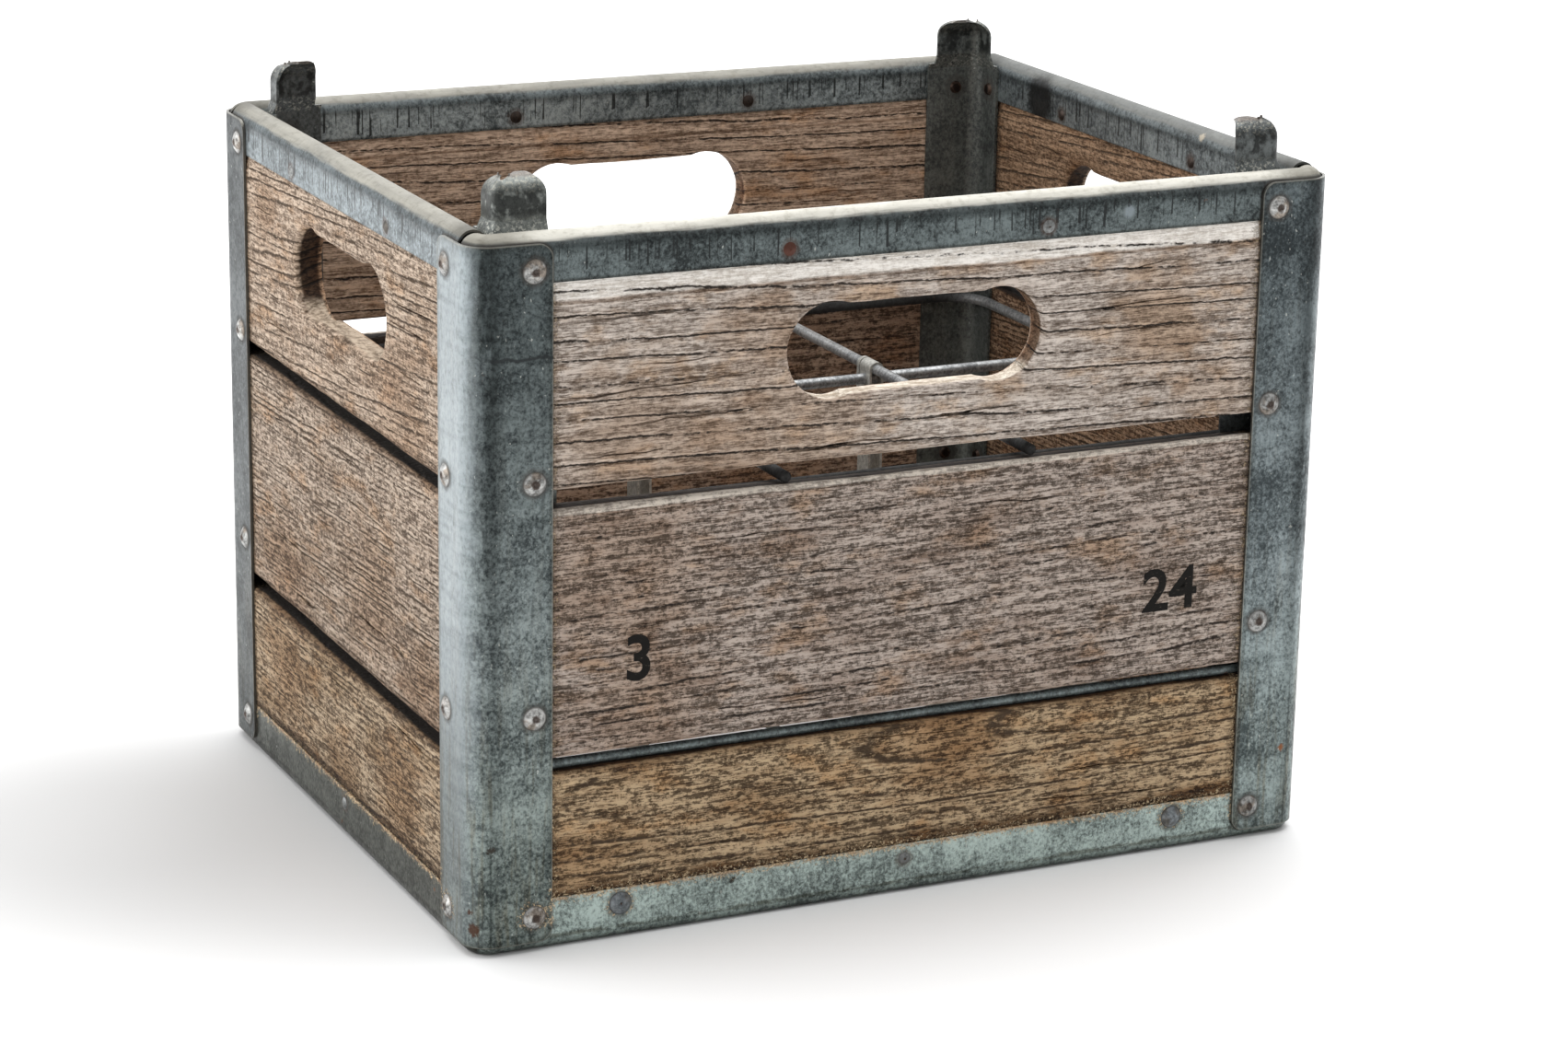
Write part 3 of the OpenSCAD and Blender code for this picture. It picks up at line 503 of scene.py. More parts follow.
def wood_finish(name, wall, span, colours, seed, rings, look):
    """Weathered wood for one board. span is its height in mm, rings fills the grain group's sockets."""
    finish = bpy.data.materials.new(name)
    finish.use_nodes = True
    tree = finish.node_tree
    shader = tree.nodes["Principled BSDF"]
    crate_place = object_millimetres(tree)
    short = wall in ("left", "right")
    place = crate_place
    if short:
        place = add_node(tree, "ShaderNodeMapping", {"Vector": place, "Rotation": SHORT_WALL_TURN}).outputs[0]
    shifted = add_node(tree, "ShaderNodeVectorMath", {0: place, 1: (seed * 137.0, 0.0, 0.0)}).outputs[0]
    grain = place_group(tree, grain_group, {"Board": place, **rings})
    sockets = {"Board": place, "Low": span[0], "High": span[1]}
    sockets.update({"End": 119.5 if short else 159.3, "Inner": 180.4 if short else 138.9})
    edges = place_group(tree, edge_group, sockets)
    marks = place_group(tree, marks_group, {"Place": crate_place})
    height = add_node(tree, "ShaderNodeSeparateXYZ", {0: crate_place}).outputs["Z"]

    pale, dark, stain = colours
    damp = clouds(tree, stretched(tree, shifted, (30, 40, 14)), 4.0, 0.6)
    colour = blend(tree, grain["Tone"], dark, pale)
    colour = tint(tree, between(tree, grain["Patch"], 0.46, 0.68, 0.0, look.get("patches", 0.7)), colour, stain)
    damp_from = look.get("damp_from", 0.50)
    colour = tint(tree, between(tree, damp, damp_from, damp_from + 0.2, 0.0, 0.8), colour, (0.88, 0.70, 0.52))
    colour = blend(tree, sum_up(tree, "MULTIPLY", grain["Lip"], 0.45), colour, tuple(min(1.0, 1.3 * c) for c in pale))
    # pale along the long edges: partly wear, partly a painted highlight on the rounded edges
    wear_and_sheen = sum_up(tree, "MULTIPLY", edges["Rubbed"], look.get("wear_and_sheen", 0.5))
    colour = blend(tree, wear_and_sheen, colour, tuple(min(1.0, 1.25 * c) for c in pale))
    for middle, size, strength in look.get("stains", ()):
        reach = apart(tree, add_node(tree, "ShaderNodeSeparateXYZ", {0: place}).outputs["X"], middle[0], height, middle[1])
        reach = sum_up(tree, "MULTIPLY_ADD", sum_up(tree, "SUBTRACT", damp, 0.5), 3.0 * size, reach)
        colour = tint(tree, between(tree, reach, 0.3 * size, size, strength, 0.0), colour, (0.66, 0.50, 0.35))
    colour = tint(tree, sum_up(tree, "MULTIPLY", grain["Pore"], 0.75), colour, (0.42, 0.36, 0.31))
    # darker near the board's edges and ends: partly dirt, partly painted shade in the joints and beside the posts
    colour = tint(tree, sum_up(tree, "MULTIPLY", edges["Grime And Shade"], look.get("grime_and_shade", 0.5)), colour, (0.30, 0.22, 0.15))
    colour = tint(tree, edges["Inside"], colour, look.get("inside", (0.95, 0.78, 0.64)))
    # the planed band under the rim is painted nearly white: partly clean planed wood, partly a painted highlight where
    # its slope faces the overhead light
    if look.get("planed_from"):
        ragged = sum_up(tree, "MULTIPLY_ADD", clouds(tree, stretched(tree, place, (30, 9, 9)), 3.0), 3.0, height)
        planed = between(tree, ragged, look["planed_from"], look["planed_from"] + 1.2, 0.0, 0.9)
        line = sum_up(tree, "ABSOLUTE", sum_up(tree, "SUBTRACT", ragged, look["planed_from"] - 0.6))
        colour = tint(tree, between(tree, line, 0.2, 1.0, 0.7, 0.0), colour, (0.40, 0.33, 0.27))
        planed = sum_up(tree, "MULTIPLY", planed, between(tree, edges["Inside"], 0.2, 0.8, 1.0, 0.0))
        colour = blend(tree, planed, colour, blend(tree, grain["Tone"], (0.60, 0.54, 0.475), (1.0, 0.96, 0.90)))
    colour = blend(tree, grain["Crack"], colour, look.get("crack", CRACK_BLACK))
    # painted shade: the faces inside the board's thickness, in joints, splits and hand holes, are darkened, much more
    # on the short walls
    core = tint(tree, 1.0, colour, (0.13, 0.095, 0.07) if short else (0.30, 0.22, 0.16))
    if look.get("sill"):
        # the hole's sill faces up, so it is kept out of the painted shade and painted pale: partly worn wood, partly
        # painted light, brighter on the long walls
        dusty = blend(tree, grain["Tone"], *look["dusty"])
        core = blend(tree, between(tree, height, look["sill"] - 3.0, look["sill"] + 1.0, 1.0, 0.0), core, dusty)
        # painted shade: the top board's bottom face, inside the joint below it, is darker still
        low_face = between(tree, height, span[0] + 1.0, span[0] + 3.0, 1.0, 0.0)
        core = tint(tree, low_face, core, (0.3, 0.25, 0.2))
    colour = blend(tree, edges["Core"], colour, core)
    # painted shade: the top and bottom faces inside a joint are painted nearly black
    upper = between(tree, height, span[1] - look["soot_drop"], span[1] - look["soot_drop"] + 1.0)
    under = between(tree, height, span[0] + 0.2, span[0] + 1.0, 1.0, 0.0)
    shade_black = sum_up(tree, "MULTIPLY", sum_up(tree, "MAXIMUM", upper, under), between(tree, marks["Depth"], *look["soot_depth"]))
    colour = blend(tree, sum_up(tree, "MULTIPLY", shade_black, 0.9), colour, (0.014, 0.011, 0.009))
    # the middle board's rounded top front edge is painted pale: partly worn wood, partly a painted highlight where it
    # faces up to the light
    if look.get("worn_top"):
        outer = between(tree, marks["Depth"], 4.5, 6.0, 1.0, 0.0)
        strip = between(tree, sum_up(tree, "MULTIPLY_ADD", damp, 2.0, height), look["worn_top"] + 1.0, look["worn_top"] + 1.8)
        worn = blend(tree, grain["Tone"], (0.30, 0.26, 0.22), (0.66, 0.59, 0.51))
        colour = blend(tree, sum_up(tree, "MULTIPLY", strip, outer), colour, worn)
    seam = marks["Outline"]
    if span[0] < 30.0:
        band = sum_up(tree, "MULTIPLY_ADD", damp, -11.0, sum_up(tree, "SUBTRACT", height, span[0]))
        colour = tint(tree, between(tree, band, -4.0, 0.5, 0.85, 0.0), colour, (0.24, 0.17, 0.11))
        seam = sum_up(tree, "MINIMUM", seam, sum_up(tree, "ABSOLUTE", sum_up(tree, "SUBTRACT", height, span[0])))
    # a dark seam along the posts' outline and along the base rail: partly dirt, partly painted shade
    colour = tint(tree, between(tree, seam, 0.0, 1.2, 0.85, 0.0), colour, (0.20, 0.14, 0.09))
    colour, sand = lay_sand(tree, crate_place, seam, SAND_REACH, colour, look.get("sand", 0.5))
    tree.links.new(colour, shader.inputs["Base Color"])
    tree.links.new(between(tree, grain["Tone"], 0.0, 1.0, 0.95, 0.80), shader.inputs["Roughness"])
    shader.inputs["Specular IOR Level"].default_value = 0.25
    relief = sum_up(tree, "MULTIPLY_ADD", sand, 0.5, grain["Relief"])
    bump = add_node(tree, "ShaderNodeBump", {"Height": relief, "Strength": 1.0, "Distance": 0.0010})
    tree.links.new(bump.outputs[0], shader.inputs["Normal"])
    return finish


GREY = ((0.68, 0.60, 0.535), (0.16, 0.125, 0.10), (0.66, 0.60, 0.54))
LILAC = ((0.49, 0.41, 0.355), (0.10, 0.078, 0.062), (0.62, 0.55, 0.50))
TAN = ((0.44, 0.355, 0.28), (0.11, 0.08, 0.058), (0.62, 0.54, 0.46))
GOLDEN = ((0.51, 0.375, 0.23), (0.10, 0.068, 0.04), (0.60, 0.50, 0.40))
print("wood recipe ready")

# %% [markdown]
# Galvanised sheet is steel with a skin of zinc. Fresh zinc shows bright crystals; after decades the
# skin turns dull blue-grey with darker blotches, dark specks and faint drip marks. It keeps a soft
# sheen, so the bends of the posts still draw a pale line of light. Rust starts where the skin is
# thinnest: at the cut edges, round the rivets and at the lowest corners.

# %% The zinc skin, as a shader group
def make_zinc_group():
    """Crate coordinates in mm to a tone from dark to pale, specks, drips and a fine relief."""
    outputs = dict.fromkeys(("Tone", "Specks", "Bright", "Drips", "Relief"), "Float")
    group, given, result = new_group("zinc_skin", {"Place": ("Vector", None)}, outputs)
    place = given["Place"]
    crystals = clouds(group, stretched(group, place, (1.5, 1.5, 1.7)), 3.0, 0.75)
    cells = clouds(group, stretched(group, place, (3.6, 3.6, 4.0)), 3.0, 0.7, 1.2)
    blotches = clouds(group, stretched(group, place, (13, 13, 17)), 4.0, 0.62)
    broad = clouds(group, stretched(group, place, (55, 55, 40)), 3.0)
    drips = clouds(group, stretched(group, place, (2.0, 2.0, 30)), 3.0, 0.6)
    specks = clouds(group, stretched(group, place, (1.0, 1.0, 1.1)), 2.0, 0.6)
    sparks = clouds(group, stretched(group, place, (1.6, 1.6, 2.4), (40, 0, 0)), 1.0, 0.5)
    tone = sum_up(group, "MULTIPLY_ADD", sum_up(group, "SUBTRACT", crystals, 0.5), 2.6, 0.5)
    tone = sum_up(group, "MULTIPLY_ADD", sum_up(group, "SUBTRACT", cells, 0.5), 1.7, tone)
    tone = sum_up(group, "MULTIPLY_ADD", sum_up(group, "SUBTRACT", blotches, 0.5), 1.5, tone)
    tone = sum_up(group, "MULTIPLY_ADD", sum_up(group, "SUBTRACT", broad, 0.5), 1.5, tone)
    group.links.new(between(group, tone, -0.25, 1.25), result["Tone"])
    group.links.new(between(group, specks, 0.64, 0.72), result["Specks"])
    group.links.new(between(group, sparks, 0.74, 0.79), result["Bright"])
    group.links.new(between(group, drips, 0.56, 0.74), result["Drips"])
    relief = sum_up(group, "MULTIPLY_ADD", blotches, 0.6, sum_up(group, "MULTIPLY", cells, 0.25))
    group.links.new(relief, result["Relief"])
    return group


zinc_group = make_zinc_group()
print("zinc group has", len(zinc_group.nodes), "nodes")

# %% [markdown]
# The nearest post gets a painted highlight on the short wall's side and round the bend, standing in for
# the bright left side that it mirrors, and painted shade in a dark band just behind it, where the bend
# mirrors the darker front. Low down, rust water has run over it in brown streaks. The rims' top is
# painted a creamy white, partly worn zinc and partly a painted highlight, brightest on the front rim and
# greyer on the far walls; painted shade darkens the lower part of that top and the rim's lower edge.
# Short dark ticks run down from it, where the sheet was pinched when the bead was rolled.

# %% Wear, painted highlights and painted shade of posts and rims
RUST = (0.20, 0.075, 0.028)
DARK_RUST = (0.07, 0.032, 0.018)
# a near-black for dirt in pits, also used as painted shade round rivets and beside posts
DIRT_AND_SHADE = (0.030, 0.024, 0.018)
PITS = (
    ((-185.6, -152.8, 45.9), 1.6, DIRT_AND_SHADE),
    ((-191.4, -148.7, 11.5), 2.2, DARK_RUST),
    ((-192.4, -147.4, 19.0), 1.2, DARK_RUST),
    ((-78.9, -152.0, 17.6), 1.4, DIRT_AND_SHADE),
    ((182.4, -152.8, 39.6), 1.5, RUST),
    ((178.0, 79.0, 284.0), 9.0, (0.010, 0.010, 0.010)),
    ((181.0, -64.7, 293.0), 1.9, (0.42, 0.37, 0.29)),
    ((177.3, -9.3, 293.0), 1.5, (0.42, 0.38, 0.30)),
    ((95.6, -152.8, 283.5), 2.6, (0.24, 0.28, 0.30)),
)
SCRATCH_HEIGHT = 248.0


def post_sheen_and_wear(tree, colour, marks, place, height, wear_and_sheen):
    """A post's painted highlight round the bend, a dark band of painted shade behind it, rust runs, and a pale edge
    line, partly wear and partly painted highlight, with a darker strip inside it.
    """
    uneven = clouds(tree, stretched(tree, place, (7, 7, 26)), 5.0, 0.68)
    fine = clouds(tree, stretched(tree, place, (1.7, 1.7, 3.0)), 3.0, 0.7)
    turn = sum_up(tree, "MULTIPLY_ADD", sum_up(tree, "SUBTRACT", uneven, 0.5), 80.0, marks["Turn"])
    # painted highlight: the short wall's side and the bend are painted pale, standing in for the bright left side they
    # mirror, less so low down
    shine = between(tree, turn, -5.0, 74.0, wear_and_sheen, 0.0)
    shine = sum_up(tree, "MULTIPLY", shine, between(tree, fine, 0.3, 0.6, 0.6, 1.0))
    shine = sum_up(tree, "MULTIPLY", shine, between(tree, height, 5.0, 110.0, 0.4, 1.0))
    # bare is the pale colour of that painted highlight
    bare = blend(tree, uneven, (0.20, 0.232, 0.245), (0.41, 0.45, 0.465))
    colour = blend(tree, shine, colour, bare)
    # painted shade: a dark band where the bend turns to face the front and mirrors the darker room; a thin crease line
    # low down joins it
    shade_streak = between(tree, marks["Inset"], 9.0, 17.0, 1.0, 0.0)
    shade_streak = sum_up(tree, "MULTIPLY", shade_streak, between(tree, height, 20.0, 230.0, 0.30, 0.85))
    crease = sum_up(tree, "ABSOLUTE", sum_up(tree, "SUBTRACT", marks["Inset"], 8.9))
    crease = sum_up(tree, "MULTIPLY", between(tree, crease, 0.2, 1.0, 0.8, 0.0), between(tree, height, 60.0, 95.0, 1.0, 0.0))
    shade_streak = sum_up(tree, "MULTIPLY", sum_up(tree, "MAXIMUM", shade_streak, crease), between(tree, turn, 52.0, 75.0))
    colour = tint(tree, shade_streak, colour, (0.30, 0.31, 0.31))
    bands = clouds(tree, stretched(tree, place, (60, 60, 5)), 3.0, 0.6)
    colour = tint(tree, between(tree, bands, 0.50, 0.70, 0.0, 0.55), colour, (0.62, 0.64, 0.64))
    runs = clouds(tree, stretched(tree, place, (3.0, 3.0, 45)), 3.0, 0.6)
    runs = sum_up(tree, "MULTIPLY", between(tree, runs, 0.48, 0.66, 0.0, 0.7), between(tree, height, 30.0, 150.0, 1.0, 0.2))
    colour = tint(tree, runs, colour, (0.66, 0.55, 0.44))
    # a pale line along the post's edge, partly wear and partly a painted highlight on the sheet's edge, then a darker
    # strip just inside it
    edge = between(tree, marks["Outline"], -0.55, -0.2, 0.0, 0.4)
    colour = blend(tree, edge, colour, (0.42, 0.40, 0.35))
    return tint(tree, between(tree, marks["Outline"], -3.0, -0.6, 0.0, 0.55), colour, (0.45, 0.44, 0.41))


def crown_sheen_and_wear(tree, colour, marks, place, height, crown):
    """The crown of a rim, painted pale as worn zinc and as a painted highlight, with painted shade on the crown's lower
    part and along the rim's lower edge, and the ticks below it. crown is its lift in mm and two colours.
    """
    shift, dim, pale = crown
    streaks = clouds(tree, stretched(tree, place, (30, 30, 2.0)), 4.0, 0.65)
    mottle = clouds(tree, stretched(tree, place, (4, 4, 3)), 4.0, 0.7)
    # the crown's pale colour: partly worn zinc, partly a painted highlight; darker towards the rim's ends
    cream_sheen = blend(tree, streaks, dim, pale)
    cream_sheen = tint(tree, between(tree, mottle, 0.48, 0.68, 0.0, 0.5), cream_sheen, (0.58, 0.56, 0.52))
    cream_sheen = tint(tree, between(tree, marks["Inset"], 14.0, 34.0, 0.85, 0.0), cream_sheen, (0.34, 0.33, 0.30))
    ragged = sum_up(tree, "MULTIPLY_ADD", sum_up(tree, "SUBTRACT", streaks, 0.5), 3.0, height)
    # painted shade: the lower part of the crown, which turns away from the overhead light, is darkened
    colour = tint(tree, between(tree, ragged, 284.5 + shift, 288.5 + shift, 0.0, 0.85), colour, (0.35, 0.36, 0.36))
    colour = blend(tree, between(tree, ragged, 290.7 + shift, 292.5 + shift, 0.0, 0.95), colour, cream_sheen)
    # painted shade: a dark line along the rim's lower edge, where it meets the board
    colour = tint(tree, between(tree, height, 275.4, 276.7, 0.8, 0.0), colour, (0.30, 0.28, 0.25))
    ticks = clouds(tree, stretched(tree, place, (1.6, 1.6, 60)), 1.0, 0.5)
    lengths = clouds(tree, stretched(tree, place, (7, 7, 200)), 1.0, 0.5)
    lowest = sum_up(tree, "MULTIPLY_ADD", lengths, -18.0, 288.5 + shift)
    ticks = sum_up(tree, "MULTIPLY", between(tree, ticks, 0.61, 0.655), sum_up(tree, "GREATER_THAN", height, lowest))
    below = between(tree, height, 287.0 + shift, 290.0 + shift, 0.9, 0.0)
    return blend(tree, sum_up(tree, "MULTIPLY", ticks, below), colour, (0.02, 0.022, 0.022))


print("wear ready")

# %% [markdown]
# The stacking lugs are dark where two crates rub soot and grease together, with a freckled foot and a
# line of rust along the top edge. Sand and rust gather on the base rail's upper edge and a dark line
# runs in the bend of its lower edge.

# %% Wear of lugs and rails
def lug_wear(tree, colour, place, height):
    """The dark middle, the freckled foot and the rusty top edge of a stacking lug."""
    lobes = clouds(tree, stretched(tree, place, (6, 6, 7)), 3.0, 0.6)
    face = sum_up(tree, "MULTIPLY", between(tree, height, 295.0, 300.0), between(tree, height, 307.0, 312.0, 1.0, 0.0))
    face = sum_up(tree, "MULTIPLY", face, between(tree, lobes, 0.40, 0.56))
    colour = tint(tree, face, colour, (0.16, 0.165, 0.16))
    freckles = between(tree, clouds(tree, stretched(tree, place, (1.3, 1.3, 1.3)), 2.0, 0.7), 0.52, 0.62, 0.0, 0.7)
    foot = sum_up(tree, "MULTIPLY", between(tree, height, 289.0, 292.0), between(tree, height, 294.0, 299.0, 1.0, 0.0))
    colour = blend(tree, sum_up(tree, "MULTIPLY", freckles, foot), colour, (0.46, 0.46, 0.41))
    colour = blend(tree, sum_up(tree, "MULTIPLY", freckles, between(tree, height, 306.0, 311.0, 0.0, 0.6)), colour, (0.42, 0.40, 0.33))
    return blend(tree, between(tree, height, 312.4, 313.8, 0.0, 0.6), colour, (0.085, 0.055, 0.04))


def rail_wear(tree, colour, place, height):
    """The rusty upper edge of a base rail and the dark line in its lower bend."""
    broken = clouds(tree, stretched(tree, place, (7, 7, 2)), 4.0, 0.7)
    edge = sum_up(tree, "MULTIPLY", between(tree, height, 19.6, 21.0), between(tree, broken, 0.40, 0.60, 0.1, 0.9))
    colour = blend(tree, edge, colour, (0.34, 0.19, 0.09))
    bend = sum_up(tree, "ABSOLUTE", sum_up(tree, "SUBTRACT", height, sum_up(tree, "MULTIPLY_ADD", broken, 2.0, 4.0)))
    bend = sum_up(tree, "MULTIPLY", between(tree, bend, 0.3, 1.6, 0.8, 0.0), between(tree, broken, 0.36, 0.55))
    return tint(tree, bend, colour, (0.30, 0.27, 0.23))


print("lug and rail wear ready")

# %% [markdown]
# One recipe finishes every piece of sheet. A dark ring round each rivet and a dark seam where a rim or
# rail slips under a post are partly dirt and partly painted shade. Sand lies along the seams near the
# ground, and the foot of a low piece is darkened as painted shade.

# %% The finish of galvanised sheet
def sheet_sand(tree, colour, marks, place, height, on_post):
    """Sand along the seams and rivets of a low piece, and painted shade along its foot. Returns the colour and the
    sand's mask.
    """
    seam = sum_up(tree, "SUBTRACT", marks["Rivet"], 4.2)
    seam = sum_up(tree, "MINIMUM", seam, sum_up(tree, "ADD", sum_up(tree, "ABSOLUTE", marks["Outline"]), 0.8))
    if not on_post:
        seam = sum_up(tree, "MINIMUM", seam, sum_up(tree, "ABSOLUTE", sum_up(tree, "SUBTRACT", height, RAIL_TOP)))
    seam = sum_up(tree, "ADD", seam, between(tree, height, 24.0, 44.0, 0.0, 9.0))
    seam = sum_up(tree, "ADD", seam, between(tree, height, 7.0, 11.0, 6.0, 0.0))
    colour, sand = lay_sand(tree, place, seam, 5.0, colour, 0.8)
    ragged = sum_up(tree, "MULTIPLY", clouds(tree, stretched(tree, place, (2.2, 2.2, 2.2)), 3.0, 0.6), 5.0)
    # painted shade: the lowest few millimetres, just above the floor, are darkened
    under = between(tree, height, 1.0, sum_up(tree, "ADD", ragged, 3.5), 0.85, 0.0)
    return tint(tree, under, colour, (0.22, 0.22, 0.20)), sand


def sheet_finish(name, pale, dark, rust_amount=0.0, darken_to_top=0.0, metal=0.8, wear_and_sheen=None, crown=None, look=()):
    """Galvanised sheet steel between two greys, darkened towards the top of the crate by the given amount: partly
    painted shade, as less light bounces up from the floor there, and partly paler zinc low down.
    """
    finish = bpy.data.materials.new(name)
    finish.use_nodes = True
    tree = finish.node_tree
    shader = tree.nodes["Principled BSDF"]
    place = object_millimetres(tree)
    zinc = place_group(tree, zinc_group, {"Place": place})
    marks = place_group(tree, marks_group, {"Place": place})
    axes = add_node(tree, "ShaderNodeSeparateXYZ", {0: place}).outputs
    height = axes["Z"]
    colour = blend(tree, zinc["Tone"], dark, pale)
    # darker towards the top: partly painted shade, away from the floor's bounced light, partly paler zinc low down
    colour = tint(tree, between(tree, height, 90.0, 290.0, 0.0, darken_to_top), colour, (0.40, 0.42, 0.43))
    colour = tint(tree, between(tree, height, 20.0, 150.0, 0.75, 0.0), colour, (1.0, 1.04, 0.96))
    colour = blend(tree, sum_up(tree, "MULTIPLY", zinc["Specks"], 0.6), colour, (0.025, 0.028, 0.028))
    colour = blend(tree, sum_up(tree, "MULTIPLY", zinc["Bright"], 0.5), colour, (0.62, 0.64, 0.60))
    colour = blend(tree, sum_up(tree, "MULTIPLY", zinc["Drips"], 0.35), colour, tuple(0.5 * c for c in dark))
    # on posts: the painted highlight and painted shade round the bend, with rust runs and the edge line
    if wear_and_sheen is not None:
        colour = post_sheen_and_wear(tree, colour, marks, place, height, wear_and_sheen)
    if crown is not None:
        colour = crown_sheen_and_wear(tree, colour, marks, place, height, crown)
    if "lug" in look:
        colour = lug_wear(tree, colour, place, height)
    if "rail" in look:
        colour = rail_wear(tree, colour, place, height)
    if "pits" in look:
        for middle, radius, pit in PITS:
            reach = add_node(tree, "ShaderNodeVectorMath", {0: place, 1: middle}, operation="DISTANCE").outputs["Value"]
            reach = sum_up(tree, "MULTIPLY_ADD", zinc["Tone"], 1.6, reach)
            colour = blend(tree, between(tree, reach, radius, 1.8 * radius, 0.9, 0.0), colour, pit)
        wobble = clouds(tree, stretched(tree, place, (9, 9, 400)), 3.0)
        scratch = sum_up(tree, "ABSOLUTE", sum_up(tree, "SUBTRACT", sum_up(tree, "MULTIPLY_ADD", wobble, 4.0, height), SCRATCH_HEIGHT))
        scratch = sum_up(tree, "MULTIPLY", between(tree, scratch, 0.3, 1.1, 0.85, 0.0), between(tree, marks["Turn"], 60.0, 80.0))
        scratch = sum_up(tree, "MULTIPLY", scratch, sum_up(tree, "LESS_THAN", axes["X"], 0.0))
        colour = blend(tree, scratch, colour, (0.02, 0.023, 0.024))
    # painted shade: the wires near the front and back walls, which lie in the walls' shade, are painted nearly black
    if "wire" in look:
        shade_black = between(tree, sum_up(tree, "ABSOLUTE", axes["Y"]), 118.0, 133.0, 0.0, 0.92)
        colour = blend(tree, shade_black, colour, (0.012, 0.011, 0.010))
    ragged = sum_up(tree, "MULTIPLY", clouds(tree, stretched(tree, place, (2.2, 2.2, 2.2)), 3.0, 0.6), 5.0)
    # a dark ring round each rivet: partly dirt, partly painted shade round the head
    ring = between(tree, marks["Rivet"], 4.9, sum_up(tree, "ADD", 4.9, ragged), 0.6, 0.0)
    stain = between(tree, marks["Nail"], 2.8, sum_up(tree, "ADD", 2.8, ragged), 0.5, 0.0)
    colour = blend(tree, ring, colour, DIRT_AND_SHADE)
    colour = blend(tree, stain, colour, DARK_RUST)
    # beside a post's edge a dark seam: partly dirt, partly painted shade where the post stands proud
    if wear_and_sheen is None:
        seam = between(tree, marks["Outline"], 0.0, 1.5, 0.85, 0.0)
        seam = sum_up(tree, "MULTIPLY", seam, between(tree, marks["Depth"], 4.0, 6.0, 1.0, 0.0))
        colour = blend(tree, seam, colour, DIRT_AND_SHADE)
    spots = clouds(tree, stretched(tree, place, (5.0, 5.0, 6.0)), 5.0, 0.7)
    rusty = between(tree, spots, 0.70 - rust_amount, 0.78 - rust_amount)
    colour = blend(tree, rusty, colour, blend(tree, zinc["Tone"], DARK_RUST, RUST))
    dull = sum_up(tree, "MAXIMUM", rusty, ring)
    if "sand" in look:
        colour, sand = sheet_sand(tree, colour, marks, place, height, wear_and_sheen is not None)
        dull = sum_up(tree, "MAXIMUM", dull, sand)
    if "wire" in look:
        dull = sum_up(tree, "MAXIMUM", dull, shade_black)
    if crown is not None:
        dull = sum_up(tree, "MAXIMUM", dull, between(tree, height, 288.0 + crown[0], 291.0 + crown[0], 0.0, 0.75))
    tree.links.new(colour, shader.inputs["Base Color"])
    tree.links.new(between(tree, dull, 0.0, 1.0, metal, 0.0), shader.inputs["Metallic"])
    if "wire" in look:
        shader.inputs["Specular IOR Level"].default_value = 0.1
    rough = sum_up(tree, "MULTIPLY_ADD", zinc["Tone"], -0.14, 0.47)
    tree.links.new(sum_up(tree, "MULTIPLY_ADD", dull, 0.35, rough), shader.inputs["Roughness"])
    bump = add_node(tree, "ShaderNodeBump", {"Height": zinc["Relief"], "Strength": 0.5, "Distance": 0.0005})
    tree.links.new(bump.outputs[0], shader.inputs["Normal"])
    return finish


RAIL_TOP = 21.5
BLUE_GREY = ((0.262, 0.302, 0.298), (0.036, 0.045, 0.047))
# The crowns' colours: partly worn zinc and partly a painted highlight, brightest on the front rim and duller on the far
# rims
CREAM_SHEEN = ((0.33, 0.315, 0.27), (0.84, 0.82, 0.74))
DULL_CREAM_SHEEN = ((0.12, 0.115, 0.10), (0.40, 0.385, 0.33))
GREY_CROWN_SHEEN = ((0.065, 0.07, 0.07), (0.20, 0.205, 0.19))
# on the posts, the given amount sets the painted highlight round the bend, strongest on the nearest post
near_post_finish = sheet_finish("near_post_zinc", *BLUE_GREY, darken_to_top=1.0, wear_and_sheen=0.95, look=("sand", "pits"))
post_finish = sheet_finish("post_zinc", (0.27, 0.315, 0.325), (0.045, 0.056, 0.06), darken_to_top=0.8, wear_and_sheen=0.12, look=("pits",))
far_post_finish = sheet_finish("far_post_zinc", (0.069, 0.081, 0.084), (0.018, 0.022, 0.024), wear_and_sheen=0.02)
rim_finish = sheet_finish("rim_zinc", (0.23, 0.27, 0.27), (0.03, 0.036, 0.037), darken_to_top=0.45, crown=(0.0, *CREAM_SHEEN), look=("pits",))
back_rim_finish = sheet_finish("back_rim_zinc", (0.42, 0.48, 0.49), (0.07, 0.084, 0.087), crown=(0.0, *DULL_CREAM_SHEEN))
left_rim_finish = sheet_finish("left_rim_zinc", (0.34, 0.39, 0.41), (0.09, 0.105, 0.11), darken_to_top=0.3, crown=(0.8, *DULL_CREAM_SHEEN))
right_rim_finish = sheet_finish("right_rim_zinc", (0.36, 0.41, 0.42), (0.06, 0.07, 0.075), crown=(0.8, *GREY_CROWN_SHEEN), look=("pits",))
rail_finish = sheet_finish("rail_zinc", (0.475, 0.56, 0.56), (0.08, 0.095, 0.096), 0.02, look=("sand", "rail", "pits"))
side_rail_finish = sheet_finish("side_rail_zinc", (0.115, 0.120, 0.108), (0.028, 0.029, 0.025), 0.06, look=("sand", "rail"))
dark_lug_finish = sheet_finish("dark_lug_zinc", (0.125, 0.138, 0.138), (0.03, 0.034, 0.033), metal=0.45, look=("lug",))
lug_finish = sheet_finish("lug_zinc", (0.20, 0.215, 0.20), (0.05, 0.056, 0.054), metal=0.45, look=("lug",))
dull_finish = sheet_finish("dull_zinc", (0.34, 0.36, 0.35), (0.08, 0.09, 0.086), 0.02, metal=0.35)
wire_finish = sheet_finish("wire_zinc", (0.46, 0.47, 0.47), (0.15, 0.155, 0.16), 0.02, metal=0.6, look=("wire",))
